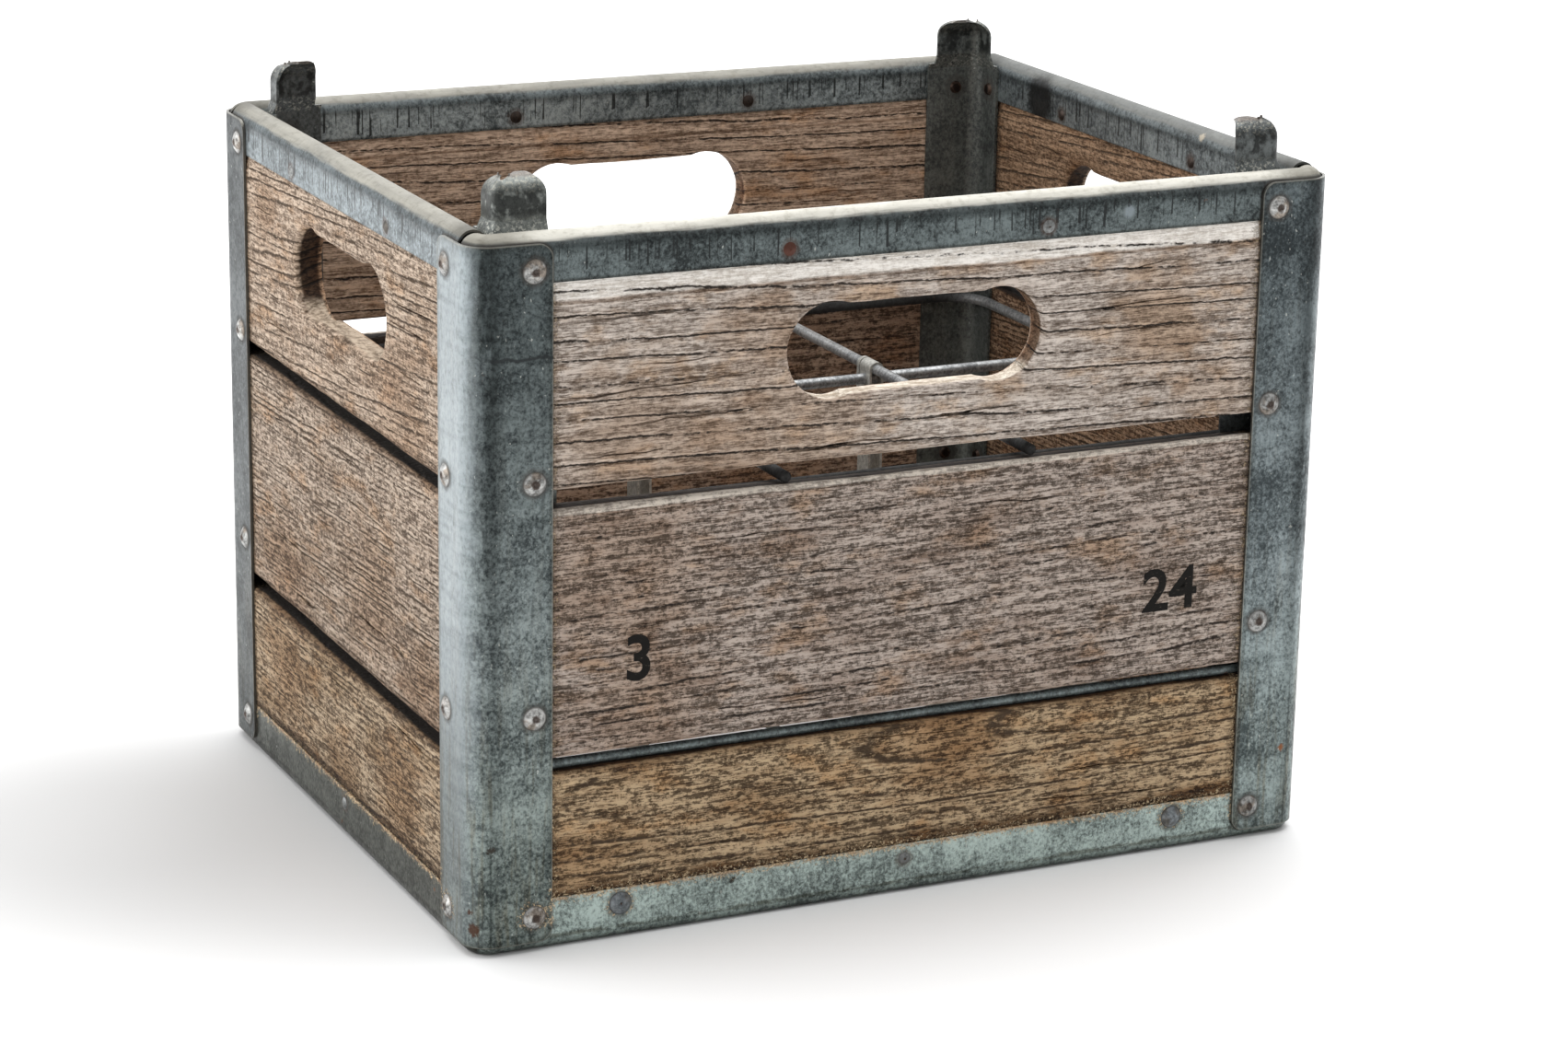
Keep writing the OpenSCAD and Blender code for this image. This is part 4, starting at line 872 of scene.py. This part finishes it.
hanger_finish = sheet_finish("hanger_zinc", (0.62, 0.61, 0.56), (0.27, 0.27, 0.25), metal=0.3)
low_rod_finish = sheet_finish("low_rod_zinc", (0.24, 0.285, 0.295), (0.05, 0.06, 0.063), 0.05, metal=0.35)
print("sheet finishes ready")

# %% [markdown]
# A rivet head is pressed from bright wire, so it stays paler than the sheet. Its dimple is wide and
# holds dark rust, a pale ring is left round it, and its edge is painted dark, partly dirt in the groove
# and partly painted shade. Rust water has browned one side of many heads. Inside the crate, where
# nothing rubs them, heads are dark brown.

# %% The finish of rivets and nails
RUSTY_NAIL = (-58.2, -153.0, 281.2)


def head_finish(name, mark, dimple, radius, dim, pale):
    """Heads round a mark, with a rusty dimple, a worn ring and a dark groove at the radius."""
    finish = bpy.data.materials.new(name)
    finish.use_nodes = True
    tree = finish.node_tree
    shader = tree.nodes["Principled BSDF"]
    place = object_millimetres(tree)
    marks = place_group(tree, marks_group, {"Place": place})
    mottle = clouds(tree, stretched(tree, place, (2.0, 2.0, 2.0)), 4.0, 0.75)
    sides = clouds(tree, stretched(tree, place, (7, 7, 7)), 2.0)
    colour = blend(tree, between(tree, mottle, 0.3, 0.7), dim, pale)
    colour = tint(tree, between(tree, sides, 0.47, 0.62, 0.0, 0.8), colour, (0.46, 0.36, 0.28))
    whole = clouds(tree, stretched(tree, place, (45, 45, 45)), 1.0)
    colour = tint(tree, between(tree, whole, 0.46, 0.58, 0.0, 0.5), colour, (0.45, 0.45, 0.45))
    ragged = sum_up(tree, "MULTIPLY_ADD", mottle, 2.0, -1.0)
    away = sum_up(tree, "ADD", marks[mark], ragged)
    colour = blend(tree, between(tree, away, 0.7 * dimple, 1.2 * dimple, 0.9, 0.0), colour, (0.045, 0.028, 0.02))
    # a dark edge round each head: partly dirt in the groove, partly painted shade
    colour = blend(tree, between(tree, away, 0.86 * radius, 1.0 * radius, 0.0, 0.8), colour, DIRT_AND_SHADE)
    rusty = add_node(tree, "ShaderNodeVectorMath", {0: place, 1: RUSTY_NAIL}, operation="DISTANCE").outputs["Value"]
    colour = blend(tree, between(tree, rusty, 5.0, 6.0, 0.95, 0.0), colour, (0.075, 0.022, 0.012))
    colour = tint(tree, between(tree, marks["Depth"], 6.0, 9.0, 0.0, 1.0), colour, (0.20, 0.13, 0.10))
    tree.links.new(colour, shader.inputs["Base Color"])
    shader.inputs["Metallic"].default_value = 0.6
    shader.inputs["Roughness"].default_value = 0.42
    return finish


rivet_finish = head_finish("rivet_heads", "Rivet", 1.9, 4.95, (0.13, 0.13, 0.125), (0.66, 0.66, 0.64))
strap_rivet_finish = head_finish("strap_rivet_heads", "Rivet", 0.3, 4.95, (0.12, 0.135, 0.145), (0.32, 0.35, 0.37))
nail_finish = head_finish("nail_heads", "Nail", 0.5, 3.0, (0.09, 0.093, 0.09), (0.28, 0.29, 0.285))
print("rivet and nail finishes ready")

# %% [markdown]
# The boards are made again, because real ones are worn: their edges have gone round, they have split
# along the grain, and no face is quite flat any more. Each one is modelled as a joiner would make it
# and then aged. These helpers do what the joiner's hands do: take a block, pick edges by where they
# lie, saw with another solid, and finish.

# %% Modelling helpers
def make_block(name, low, high):
    """A block between two corners in mm, its place and size kept in the mesh."""
    bpy.ops.object.select_all(action="DESELECT")
    middle = (Vector(low) + Vector(high)) / 2 * MM
    bpy.ops.mesh.primitive_cube_add(size=1, location=middle, scale=(Vector(high) - Vector(low)) * MM)
    block = bpy.context.object
    block.name = name
    bpy.ops.object.transform_apply(location=True, rotation=True, scale=True)
    return block


def pick(piece, kind, wanted):
    """In Edit Mode, selects only the edges or faces for which wanted says yes."""
    bpy.ops.mesh.select_mode(type=kind)
    bpy.ops.mesh.select_all(action="DESELECT")
    mesh = bmesh.from_edit_mesh(piece.data)
    chosen = [part for part in (mesh.faces if kind == "FACE" else mesh.edges) if wanted(part)]
    for part in chosen:
        part.select_set(True)
    mesh.select_flush_mode()
    bmesh.update_edit_mesh(piece.data)
    return len(chosen)


def middle_of(part):
    """Middle of an edge or face, in mm."""
    places = [corner.co for corner in part.verts]
    return sum(places, Vector()) / len(places) / MM


def saw(piece, cutter):
    """Takes the cutter's shape out of the piece and throws the cutter away."""
    modifier = piece.modifiers.new("saw", "BOOLEAN")
    modifier.object = cutter
    modifier.operation = "DIFFERENCE"
    modifier.solver = "MANIFOLD"
    bpy.ops.object.select_all(action="DESELECT")
    piece.select_set(True)
    bpy.context.view_layer.objects.active = piece
    bpy.ops.object.modifier_apply(modifier=modifier.name)
    bpy.data.objects.remove(cutter, do_unlink=True)


def wave(piece, size, strength, direction="NORMAL"):
    """Pushes the surface in and out by soft noise with bumps of size mm, strength mm in all."""
    texture = bpy.data.textures.new(piece.name + "_wave", "CLOUDS")
    texture.noise_scale = size * MM
    texture.noise_depth = 1
    modifier = piece.modifiers.new("wave", "DISPLACE")
    modifier.texture = texture
    modifier.strength = strength * MM
    modifier.direction = direction
    bpy.context.view_layer.objects.active = piece
    bpy.ops.object.modifier_apply(modifier=modifier.name)
    bpy.data.textures.remove(texture)


print("modelling helpers ready")

# %% [markdown]
# A top board is a plank whose upper edge is planed thinner on both faces, so that it slides into the
# rim. A bottom board has its tongue below, in the base rail. Both start as a block; the end face is
# pulled out and squeezed to the tongue's thickness. Then the long edges lose their sharpness: a bevel
# in three small steps reads as round at this size.

# %% Plank with tongues
TAPER = 7.0
SHEET = 1.0
WORN_RADIUS = 1.5


def squeeze_out(piece, up, heights, thickness):
    """Pulls the upper (up = 1) or lower (up = -1) face through heights, at each tongue's thickness."""
    pick(piece, "FACE", lambda face: face.normal.z * up > 0.9)
    for step, share in zip(heights, thickness):
        bpy.ops.mesh.extrude_region_move(TRANSFORM_OT_translate={"value": (0, 0, up * step * MM)})
        bpy.ops.transform.resize(value=(1, share, 1))


def plank(name, half, face, back, low, high, level):
    """One board in its wall's own frame: X along the wall, its outer face at Y = -face, in mm."""
    thick = face - back
    share = (thick - 2 * SHEET) / thick
    body_low = RAIL_EDGE if level == "bottom" else low
    body_high = RIM_EDGE - TAPER if level == "top" else high
    board = make_block(name, (-half, -face, body_low), (half, -back, body_high))
    bpy.ops.object.mode_set(mode="EDIT")
    if level == "top":
        squeeze_out(board, 1, (TAPER, high - RIM_EDGE), (share, 1.0))
    if level == "bottom":
        squeeze_out(board, -1, (0.3, body_low - low - 0.3), (share, 1.0))
    thick_edges = lambda edge: (
        abs(edge.verts[0].co.y - edge.verts[1].co.y) < 1e-6
        and abs(edge.verts[0].co.z - edge.verts[1].co.z) < 1e-6
        and abs(abs(middle_of(edge).y + (face + back) / 2) - thick / 2) < 0.01
    )
    pick(board, "EDGE", thick_edges)
    bpy.ops.mesh.bevel(offset=WORN_RADIUS * MM, segments=3, profile=0.5, affect="EDGES")
    bpy.ops.object.mode_set(mode="OBJECT")
    return board


RAIL_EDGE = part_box("base_rail_front")[1].z / MM
RIM_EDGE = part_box("rim_front")[0].z / MM
print("boards stand between", RAIL_EDGE, "and", RIM_EDGE, "mm")

# %% [markdown]
# The hand hole: two round holes drilled through the plank, and the wood between them sawn out a
# little lower than the drill's diameter, which leaves the small shoulders seen at both ends. Decades
# of hands have rounded its mouth, so the mouth's edges are bevelled more than the board's own.

# %% Hand hole
HOLE_RADIUS = 20.0
SAWN_LOWER = 1.4
MOUTH_RADIUS = 2.2


HAND_HOLES = {False: (57.5, 237.15), True: (55.5, 240.15)}


def cut_hand_hole(board, half_length, height, face, back):
    """Drills and saws the hand hole, then rounds its mouth on both faces."""
    reach = half_length - HOLE_RADIUS
    depth = (face - back) * 3 * MM
    for side in (-1, 1):
        bpy.ops.object.select_all(action="DESELECT")
        place = Vector((side * reach, -(face + back) / 2, height)) * MM
        bpy.ops.mesh.primitive_cylinder_add(vertices=48, radius=HOLE_RADIUS * MM, depth=depth,
                                            location=place, rotation=(math.radians(90), 0, 0))
        saw(board, bpy.context.object)
    half = HOLE_RADIUS - SAWN_LOWER
    saw(board, make_block("saw_cut", (-reach, -face - 5, height - half), (reach, -back + 5, height + half)))

    def is_mouth(edge):
        place = middle_of(edge)
        near = abs(place.x) < half_length + 1 and abs(place.z - height) < HOLE_RADIUS + 1
        if not near or len(edge.link_faces) != 2:
            return False
        first, second = (linked.normal for linked in edge.link_faces)
        return max(abs(first.y), abs(second.y)) > 0.9 and abs(first.dot(second)) < 0.3

    bpy.ops.object.mode_set(mode="EDIT")
    picked = pick(board, "EDGE", is_mouth)
    bpy.ops.mesh.bevel(offset=MOUTH_RADIUS * MM, segments=3, profile=0.5, affect="EDGES")
    bpy.ops.object.mode_set(mode="OBJECT")
    return picked


print("hand hole ready, radius", HOLE_RADIUS, "mm")

# %% [markdown]
# Old planks split along the grain. Each split is cut with a long thin blade that follows a wavering
# line and narrows to nothing at both ends. The blades of one board are made together, so that one cut
# makes them all. Their places come from a random generator with a fixed seed.

# %% Splits along the grain
SPLITS = {"top": 22, "middle": 18, "bottom": 8}
END_CLEAR = 24.0
GRAIN_SLOPE = {"top": -0.035, "middle": 0.02, "bottom": 0.05}


def make_blade(name, middle, length, slope, width, depth):
    """A thin blade along X, narrow at both ends, with its middle on the face it cuts."""
    half = Vector((length / 2, depth, width / 2))
    blade = make_block(name, Vector(middle) - half, Vector(middle) + half)
    bpy.ops.object.mode_set(mode="EDIT")
    pick(blade, "EDGE", lambda edge: abs(edge.verts[0].co.x - edge.verts[1].co.x) > MM)
    bpy.ops.mesh.subdivide(number_cuts=11)
    for share, squeeze in ((0.5, 0.15), (0.42, 0.5), (0.33, 0.8)):
        for side in (-1, 1):
            place = middle[0] + side * share * length
            pick(blade, "EDGE", lambda edge: max(abs(v.co.x / MM - place) for v in edge.verts) < 0.05 * length)
            bpy.ops.transform.resize(value=(1, squeeze, squeeze))
    bpy.ops.mesh.select_all(action="SELECT")
    turn = math.atan(slope)
    bpy.ops.transform.rotate(value=-turn, orient_axis="Y", center_override=Vector(middle) * MM)
    bpy.ops.object.mode_set(mode="OBJECT")
    return blade


def make_blades(half, face, back, low, high, level, chance, hole):
    """All blades for one board, joined and wavering, clear of each other and of the hand hole."""
    blades, places = [], []
    slope = GRAIN_SLOPE[level]
    while len(blades) < SPLITS[level]:
        surface = -face if chance.random() < 0.65 else -back
        length = chance.uniform(22, 85)
        reach = half - length / 2 - END_CLEAR
        x = chance.uniform(-reach, reach)
        z = chance.uniform(low, high)
        if hole and abs(x) < hole[0] + length / 2 and abs(z - hole[1]) < HOLE_RADIUS + 9:
            continue
        if any(surface == other[0] and abs(x - other[1]) < (length + other[3]) / 2 + 4 and abs(z - other[2]) < 8
               for other in places):
            continue
        places.append((surface, x, z, length))
        width = chance.uniform(0.4, 0.85)
        blades.append(make_blade("blade", (x, surface, z), length, slope, width, 1.4))
    bpy.ops.object.select_all(action="DESELECT")
    for blade in blades:
        blade.select_set(True)
    bpy.context.view_layer.objects.active = blades[0]
    bpy.ops.object.join()
    wave(blades[0], 14.0, 3.0, "Z")
    return blades[0]


print("splits ready")

# %% [markdown]
# Last, the whole board is sliced into short lengths, which changes nothing yet but gives the wood
# places where it can move. Two soft waves, a broad one and a fine one, then take away the last
# straightness, as drying and handling did.

# %% The twelve boards
SLICE = 7.0


def slice_board(board, half, low, high):
    """Cuts the board's mesh across and along without opening it."""
    bpy.ops.object.select_all(action="DESELECT")
    board.select_set(True)
    bpy.context.view_layer.objects.active = board
    bpy.ops.object.mode_set(mode="EDIT")
    across = [(x, 0, 0) for x in steps_between(-half, half, SLICE)]
    along = [(0, 0, z) for z in steps_between(low, high, 3 * SLICE)]
    for place in across + along:
        bpy.ops.mesh.select_all(action="SELECT")
        normal = (1, 0, 0) if place[0] else (0, 0, 1)
        bpy.ops.mesh.bisect(plane_co=Vector(place) * MM, plane_no=normal)
    bpy.ops.mesh.select_all(action="SELECT")
    bpy.ops.mesh.quads_convert_to_tris(quad_method="BEAUTY", ngon_method="BEAUTY")
    bpy.ops.object.mode_set(mode="OBJECT")


def steps_between(low, high, step):
    """Even steps strictly between low and high, about step apart."""
    count = max(2, round((high - low) / step))
    return [low + (high - low) * number / count for number in range(1, count)]


def turn_to_wall(board, wall):
    """From the front wall's place to its own wall, with the turn kept in the mesh."""
    angle = {"front": 0, "back": 180, "left": -90, "right": 90}[wall]
    bpy.ops.object.select_all(action="DESELECT")
    board.select_set(True)
    bpy.context.view_layer.objects.active = board
    board.rotation_euler.z = math.radians(angle)
    bpy.ops.object.transform_apply(location=True, rotation=True, scale=True)


def make_board(node, level, wall, number):
    """One worn board in the place of a CAD board."""
    low, high = (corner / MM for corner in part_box(node))
    short = wall in ("left", "right")
    half = (high.y - low.y if short else high.x - low.x) / 2
    near, far = (low.x, high.x) if short else (low.y, high.y)
    outer, inner = max(abs(near), abs(far)), min(abs(near), abs(far))
    board = plank(f"worn_{node}", half, outer, inner, low.z, high.z, level)
    hole = None
    if level == "top":
        hole = HAND_HOLES[short]
        cut_hand_hole(board, *hole, outer, inner)
    if node == "middle_board_front":
        plane_off_wedge(board, half, outer, inner, high.z)
    chance = random.Random(100 + number)
    body_low, body_high = max(low.z, RAIL_EDGE), min(high.z, RIM_EDGE - TAPER)
    blades = make_blades(half, outer, inner, body_low + 4, body_high - 4, level, chance, hole)
    saw(board, blades)
    slice_board(board, half, body_low, body_high)
    wave(board, 55.0 + number, 1.2)
    wave(board, 9.0 + 0.3 * number, 0.55)
    bpy.ops.object.shade_smooth_by_angle(angle=math.radians(35))
    turn_to_wall(board, wall)
    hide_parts(node)
    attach(board, "root")
    return board


WEDGE_DROP = 2.2
WEDGE_FULL = -20.0


def plane_off_wedge(board, half, outer, inner, top):
    """Planes the inner top edge lower, from nothing at the left end to all of it past WEDGE_FULL."""
    wedge = make_block("plane_cut", (-half - 5, -outer - 1, top + 0.02), (half + 5, -inner + 1, top + 8))
    bpy.ops.object.mode_set(mode="EDIT")
    bpy.ops.mesh.select_all(action="SELECT")
    bpy.ops.mesh.bisect(plane_co=(WEDGE_FULL * MM, 0, 0), plane_no=(1, 0, 0))

    def is_upright(edge):
        place = middle_of(edge)
        tall = abs(edge.verts[0].co.z - edge.verts[1].co.z) > MM
        return tall and place.x > WEDGE_FULL - 1 and place.y > -inner

    pick(wedge, "EDGE", is_upright)
    bpy.ops.transform.translate(value=(0, 0, -WEDGE_DROP * MM))
    bpy.ops.object.mode_set(mode="OBJECT")
    saw(board, wedge)


boards = {}
for level in ("top", "middle", "bottom"):
    for wall in ("front", "back", "left", "right"):
        node = f"{level}_board_{wall}"
        boards[node] = make_board(node, level, wall, len(boards))
        print(node, "is worn, with", len(boards[node].data.polygons), "faces")

# %% [markdown]
# The kept CAD parts get their finish by node name. Each one goes into the material slots that the
# part already has, so nothing else about it changes. The nearest post gets the brightest painted
# highlight round its bend.

# %% Dress the kept parts
FINISH_BY_START = {
    "corner_post_front_left": near_post_finish,
    "corner_post_front_right": post_finish,
    "corner_post": far_post_finish,
    "inner_angle_front_right": dark_lug_finish,
    "inner_angle_back_left": dark_lug_finish,
    "inner_angle": lug_finish,
    "rim_nails": nail_finish,
    "rim_left": left_rim_finish,
    "rim_right": right_rim_finish,
    "rim_back": back_rim_finish,
    "rim_": rim_finish,
    "base_rail_left": side_rail_finish,
    "base_rail_right": side_rail_finish,
    "base_rail": rail_finish,
    "bottom_strap": dull_finish,
    "corner_rivets": rivet_finish,
    "strap_rivets": strap_rivet_finish,
    "rail_nails": nail_finish,
    "divider_hanger": hanger_finish,
    "divider": wire_finish,
    "lower": low_rod_finish,
}


def give_finish(piece, finish):
    """The finish in every material slot of a piece."""
    if not piece.material_slots:
        piece.data.materials.append(finish)
    for slot in piece.material_slots:
        slot.material = finish


for name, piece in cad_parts.items():
    for start, finish in FINISH_BY_START.items():
        if name.startswith(start):
            give_finish(piece, finish)
            break
print("dressed", len(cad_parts), "parts")

# %% [markdown]
# The boards come from different logs. The front's top board has wide rings and open cracks, its
# middle board is finer, and its bottom board was cut near a log's heart, so its rings run out in
# pointed arches. The short walls' boards have narrow rings with rows of large pores.

# %% Dress the boards
LONG_RINGS = {
    "top": {"Ring Width": 8.2, "Heart Height": -500.0, "Heart Depth": 0.0, "Lean": -0.035, "Openness": 0.56},
    "middle": {"Ring Width": 5.2, "Heart Height": -300.0, "Heart Depth": 40.0, "Lean": 0.03, "Openness": 0.30},
    "bottom": {"Ring Width": 5.0, "Heart Height": 72.0, "Heart Depth": -136.0, "Lean": 0.04, "Dive": -0.08},
}
LONG_RINGS["top"].update({"Pores": 0.25})
LONG_RINGS["middle"].update({"Pores": 0.45})
LONG_RINGS["bottom"].update({"Wander": 2.5, "Openness": 0.36, "Pores": 0.40})
SHORT_RINGS = {
    "top": {"Ring Width": 4.6, "Heart Height": -420.0, "Heart Depth": 0.0, "Lean": 0.075, "Openness": 0.46},
    "middle": {"Ring Width": 2.3, "Heart Height": -400.0, "Heart Depth": 0.0, "Lean": 0.05, "Openness": 0.34},
    "bottom": {"Ring Width": 2.3, "Heart Height": -300.0, "Heart Depth": 30.0, "Lean": 0.05, "Openness": 0.28},
}
LOOKS = {
    "top": {"planed_from": 268.6, "grime_and_shade": 0.35, "wear_and_sheen": 0.5, "patches": 0.55, "sand": 0.3},
    "middle": {"grime_and_shade": 0.40, "wear_and_sheen": 0.75, "sand": 0.35, "worn_top": 180.7},
    "bottom": {"grime_and_shade": 0.55, "wear_and_sheen": 0.3, "crack": CRACK_BROWN, "sand": 0.9},
}
SHORT_LOOK = {"crack": CRACK_BROWN, "grime_and_shade": 0.8, "wear_and_sheen": 0.15, "sand": 0.2, "planed_from": None, "worn_top": None}
# sill colours for long and short walls: partly worn wood, partly painted light, the short walls' darker as painted
# shade
SILL_WORN_AND_LIT = {False: ((0.40, 0.32, 0.24), (0.85, 0.77, 0.66)), True: ((0.20, 0.15, 0.105), (0.46, 0.37, 0.28))}
TUFTS = {"top": 1.3, "middle": 1.8, "bottom": 3.0}
FLECKS = {"top": 1.2, "middle": 2.0, "bottom": 2.4}
CONTRAST_CUT = {"top": 0.0, "middle": 0.15, "bottom": 0.15}
SILL_DROP = 13.5
BOARD_TONES = {
    "top_board_left": (1.14, 1.12, 1.10),
    "bottom_board_left": (0.96, 0.92, 0.80),
    "top_board_right": (0.86, 0.84, 0.80),
    "top_board_back": (1.06, 1.06, 1.06),
}
STAINS = {
    "top_board_front": (((112.0, 236.0), 34.0, 0.75), ((-75.0, 246.0), 26.0, 0.35), ((140.0, 205.0), 24.0, 0.4), ((-60.0, 203.0), 60.0, 0.5), ((-120.0, 200.0), 60.0, 0.5)),
    "middle_board_front": (((-120.0, 95.0), 40.0, 0.45), ((-130.0, 155.0), 50.0, 0.45), ((60.0, 90.0), 30.0, 0.15)),
    "bottom_board_front": (((20.0, 70.0), 42.0, 0.6), ((-150.0, 30.0), 30.0, 0.5)),
    "top_board_left": (((-95.0, 258.0), 20.0, 0.5), ((70.0, 208.0), 40.0, 0.35)),
    "middle_board_left": (((40.0, 120.0), 42.0, 0.5), ((-75.0, 96.0), 42.0, 0.6), ((95.0, 95.0), 30.0, 0.5)),
    "bottom_board_left": (((-75.0, 52.0), 38.0, 0.6), ((70.0, 42.0), 36.0, 0.7), ((0.0, 32.0), 26.0, 0.4)),
}
for level in ("top", "middle", "bottom"):
    for number, wall in enumerate(("front", "back", "left", "right")):
        node = f"{level}_board_{wall}"
        low, high = (corner.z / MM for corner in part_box(node))
        span = (max(low, RAIL_EDGE), high)
        short = wall in ("left", "right")
        look = {**LOOKS[level], **(SHORT_LOOK if short else {}), "stains": STAINS.get(node, ())}
        # how far the joints' painted shade reaches down from a board's top, and at what depth in the board
        look["soot_drop"] = 4.2 if level == "middle" and not short else 1.4
        look["soot_depth"] = (2.2, 3.6) if short else (5.0, 6.5)
        if level == "top":
            look["sill"] = HAND_HOLES[short][1] - SILL_DROP
            look["dusty"] = SILL_WORN_AND_LIT[short]
        colours = {"top": GREY, "middle": LILAC, "bottom": GOLDEN}[level]
        if short:
            colours = TAN
        red, green, blue = BOARD_TONES.get(node, (1.0, 1.0, 1.0))
        colours = tuple((c[0] * red, c[1] * green, c[2] * blue) for c in colours)
        rings = {"Pores": 0.6, "Tufts": TUFTS[level], "Flecks": 2.8 if short else FLECKS[level]}
        rings["Contrast Cut"] = CONTRAST_CUT[level]
        rings.update((SHORT_RINGS if short else LONG_RINGS)[level])
        give_finish(boards[node], wood_finish(f"{node}_wood", wall, span, colours, number + 1, rings, look))
print("dressed", len(boards), "boards")

# %% [markdown]
# The paper under the crate is matt and almost white, with a soft shadow painted grey beside the left
# wall.

# %% Dress the paper
def paper_with_painted_shadow():
    """Matt white paper with a soft shadow painted grey beside the left wall."""
    finish = bpy.data.materials.new("white_paper")
    finish.use_nodes = True
    tree = finish.node_tree
    axes = add_node(tree, "ShaderNodeSeparateXYZ", {0: object_millimetres(tree)}).outputs
    # painted shadow: the paper turns grey near the left wall, where the crate's soft shadow falls
    patch = between(tree, apart(tree, axes["X"], -285.0, axes["Y"], 50.0), 40.0, 280.0, 1.0, 0.0)
    colour = blend(tree, patch, (0.90, 0.90, 0.90), (0.50, 0.50, 0.50))
    tree.links.new(colour, tree.nodes["Principled BSDF"].inputs["Base Color"])
    tree.nodes["Principled BSDF"].inputs["Roughness"].default_value = 0.9
    return finish


give_finish(floor, paper_with_painted_shadow())
print("the paper is laid")


# %% [markdown]
# The photographed board is printed with words, and those are left out. Two plain stock numbers stand
# in their place. Such numbers were stamped with thick black ink: the outline becomes a mesh first, is
# cut into small cells, and is then laid onto the worn board so that it follows every wave of the wood.

# %% Stock numbers
INK_LIFT = 0.06
INK_DEPTH = 0.3
INK_CELL = 1.6
INK_SPREAD = 0.02
NUMBERS = {
    "stock_number_left": ("3", (-121.8, 118.8), (10.2, 19.5)),
    "stock_number_right": ("24", (123.0, 118.8), (26.5, 19.0)),
}


def ink_finish(name, ink, bare):
    """Old black ink that has worn thin along the grain."""
    finish = bpy.data.materials.new(name)
    finish.use_nodes = True
    tree = finish.node_tree
    shader = tree.nodes["Principled BSDF"]
    place = object_millimetres(tree)
    worn = clouds(tree, stretched(tree, place, (4.0, 4.0, 0.9)), 4.0, 0.7)
    colour = blend(tree, between(tree, worn, 0.60, 0.72), ink, bare)
    tree.links.new(colour, shader.inputs["Base Color"])
    shader.inputs["Roughness"].default_value = 0.75
    shader.inputs["Specular IOR Level"].default_value = 0.1
    return finish


def add_number(name, digits, middle, size, board):
    """Digits of the given size in mm, laid on a board of the front wall round the middle (x, z)."""
    bpy.ops.object.select_all(action="DESELECT")
    bpy.ops.object.text_add()
    bpy.context.object.data.body = digits
    bpy.context.object.data.resolution_u = 5
    bpy.context.object.data.offset = INK_SPREAD
    bpy.ops.object.convert(target="MESH")
    label = bpy.context.object
    label.name = name
    corners = [Vector(corner) for corner in label.bound_box]
    low, high = corners[0], corners[6]
    label.data.transform(Matrix.Translation(-(low + high) / 2))
    label.scale = (size[0] * MM / (high.x - low.x), size[1] * MM / (high.y - low.y), 1)
    label.rotation_euler.x = math.radians(90)
    label.location = Vector((middle[0], -HALF_DEPTH, middle[1])) * MM
    bpy.ops.object.transform_apply(location=True, rotation=True, scale=True)
    bpy.ops.object.mode_set(mode="EDIT")
    for axis, centre, span in ((0, middle[0], size[0]), (2, middle[1], size[1])):
        for step in steps_between(centre - span / 2, centre + span / 2, INK_CELL):
            bpy.ops.mesh.select_all(action="SELECT")
            plane = [0.0, 0.0, 0.0]
            plane[axis] = 1.0
            bpy.ops.mesh.bisect(plane_co=Vector(plane) * step * MM, plane_no=plane)
    bpy.ops.object.mode_set(mode="OBJECT")
    lay_on(label, board)
    return label


def lay_on(label, board):
    """Presses a flat label onto the board and gives it the thickness of ink."""
    press = label.modifiers.new("press", "SHRINKWRAP")
    press.target = board
    press.wrap_method = "PROJECT"
    press.wrap_mode = "ABOVE_SURFACE"
    press.use_project_y = True
    press.use_positive_direction = True
    press.use_negative_direction = True
    press.offset = INK_LIFT * MM
    bpy.ops.object.modifier_apply(modifier=press.name)
    ink = label.modifiers.new("ink", "SOLIDIFY")
    ink.thickness = INK_DEPTH * MM
    ink.offset = -1.0
    bpy.ops.object.modifier_apply(modifier=ink.name)


stock_ink = ink_finish("stamping_ink", (0.011, 0.010, 0.009), (0.15, 0.12, 0.10))
for name, (digits, middle, size) in NUMBERS.items():
    label = add_number(name, digits, middle, size, boards["middle_board_front"])
    label.data.materials.clear()
    label.data.materials.append(stock_ink)
    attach(label, "root")
    print(name, "has", len(label.data.polygons), "faces")
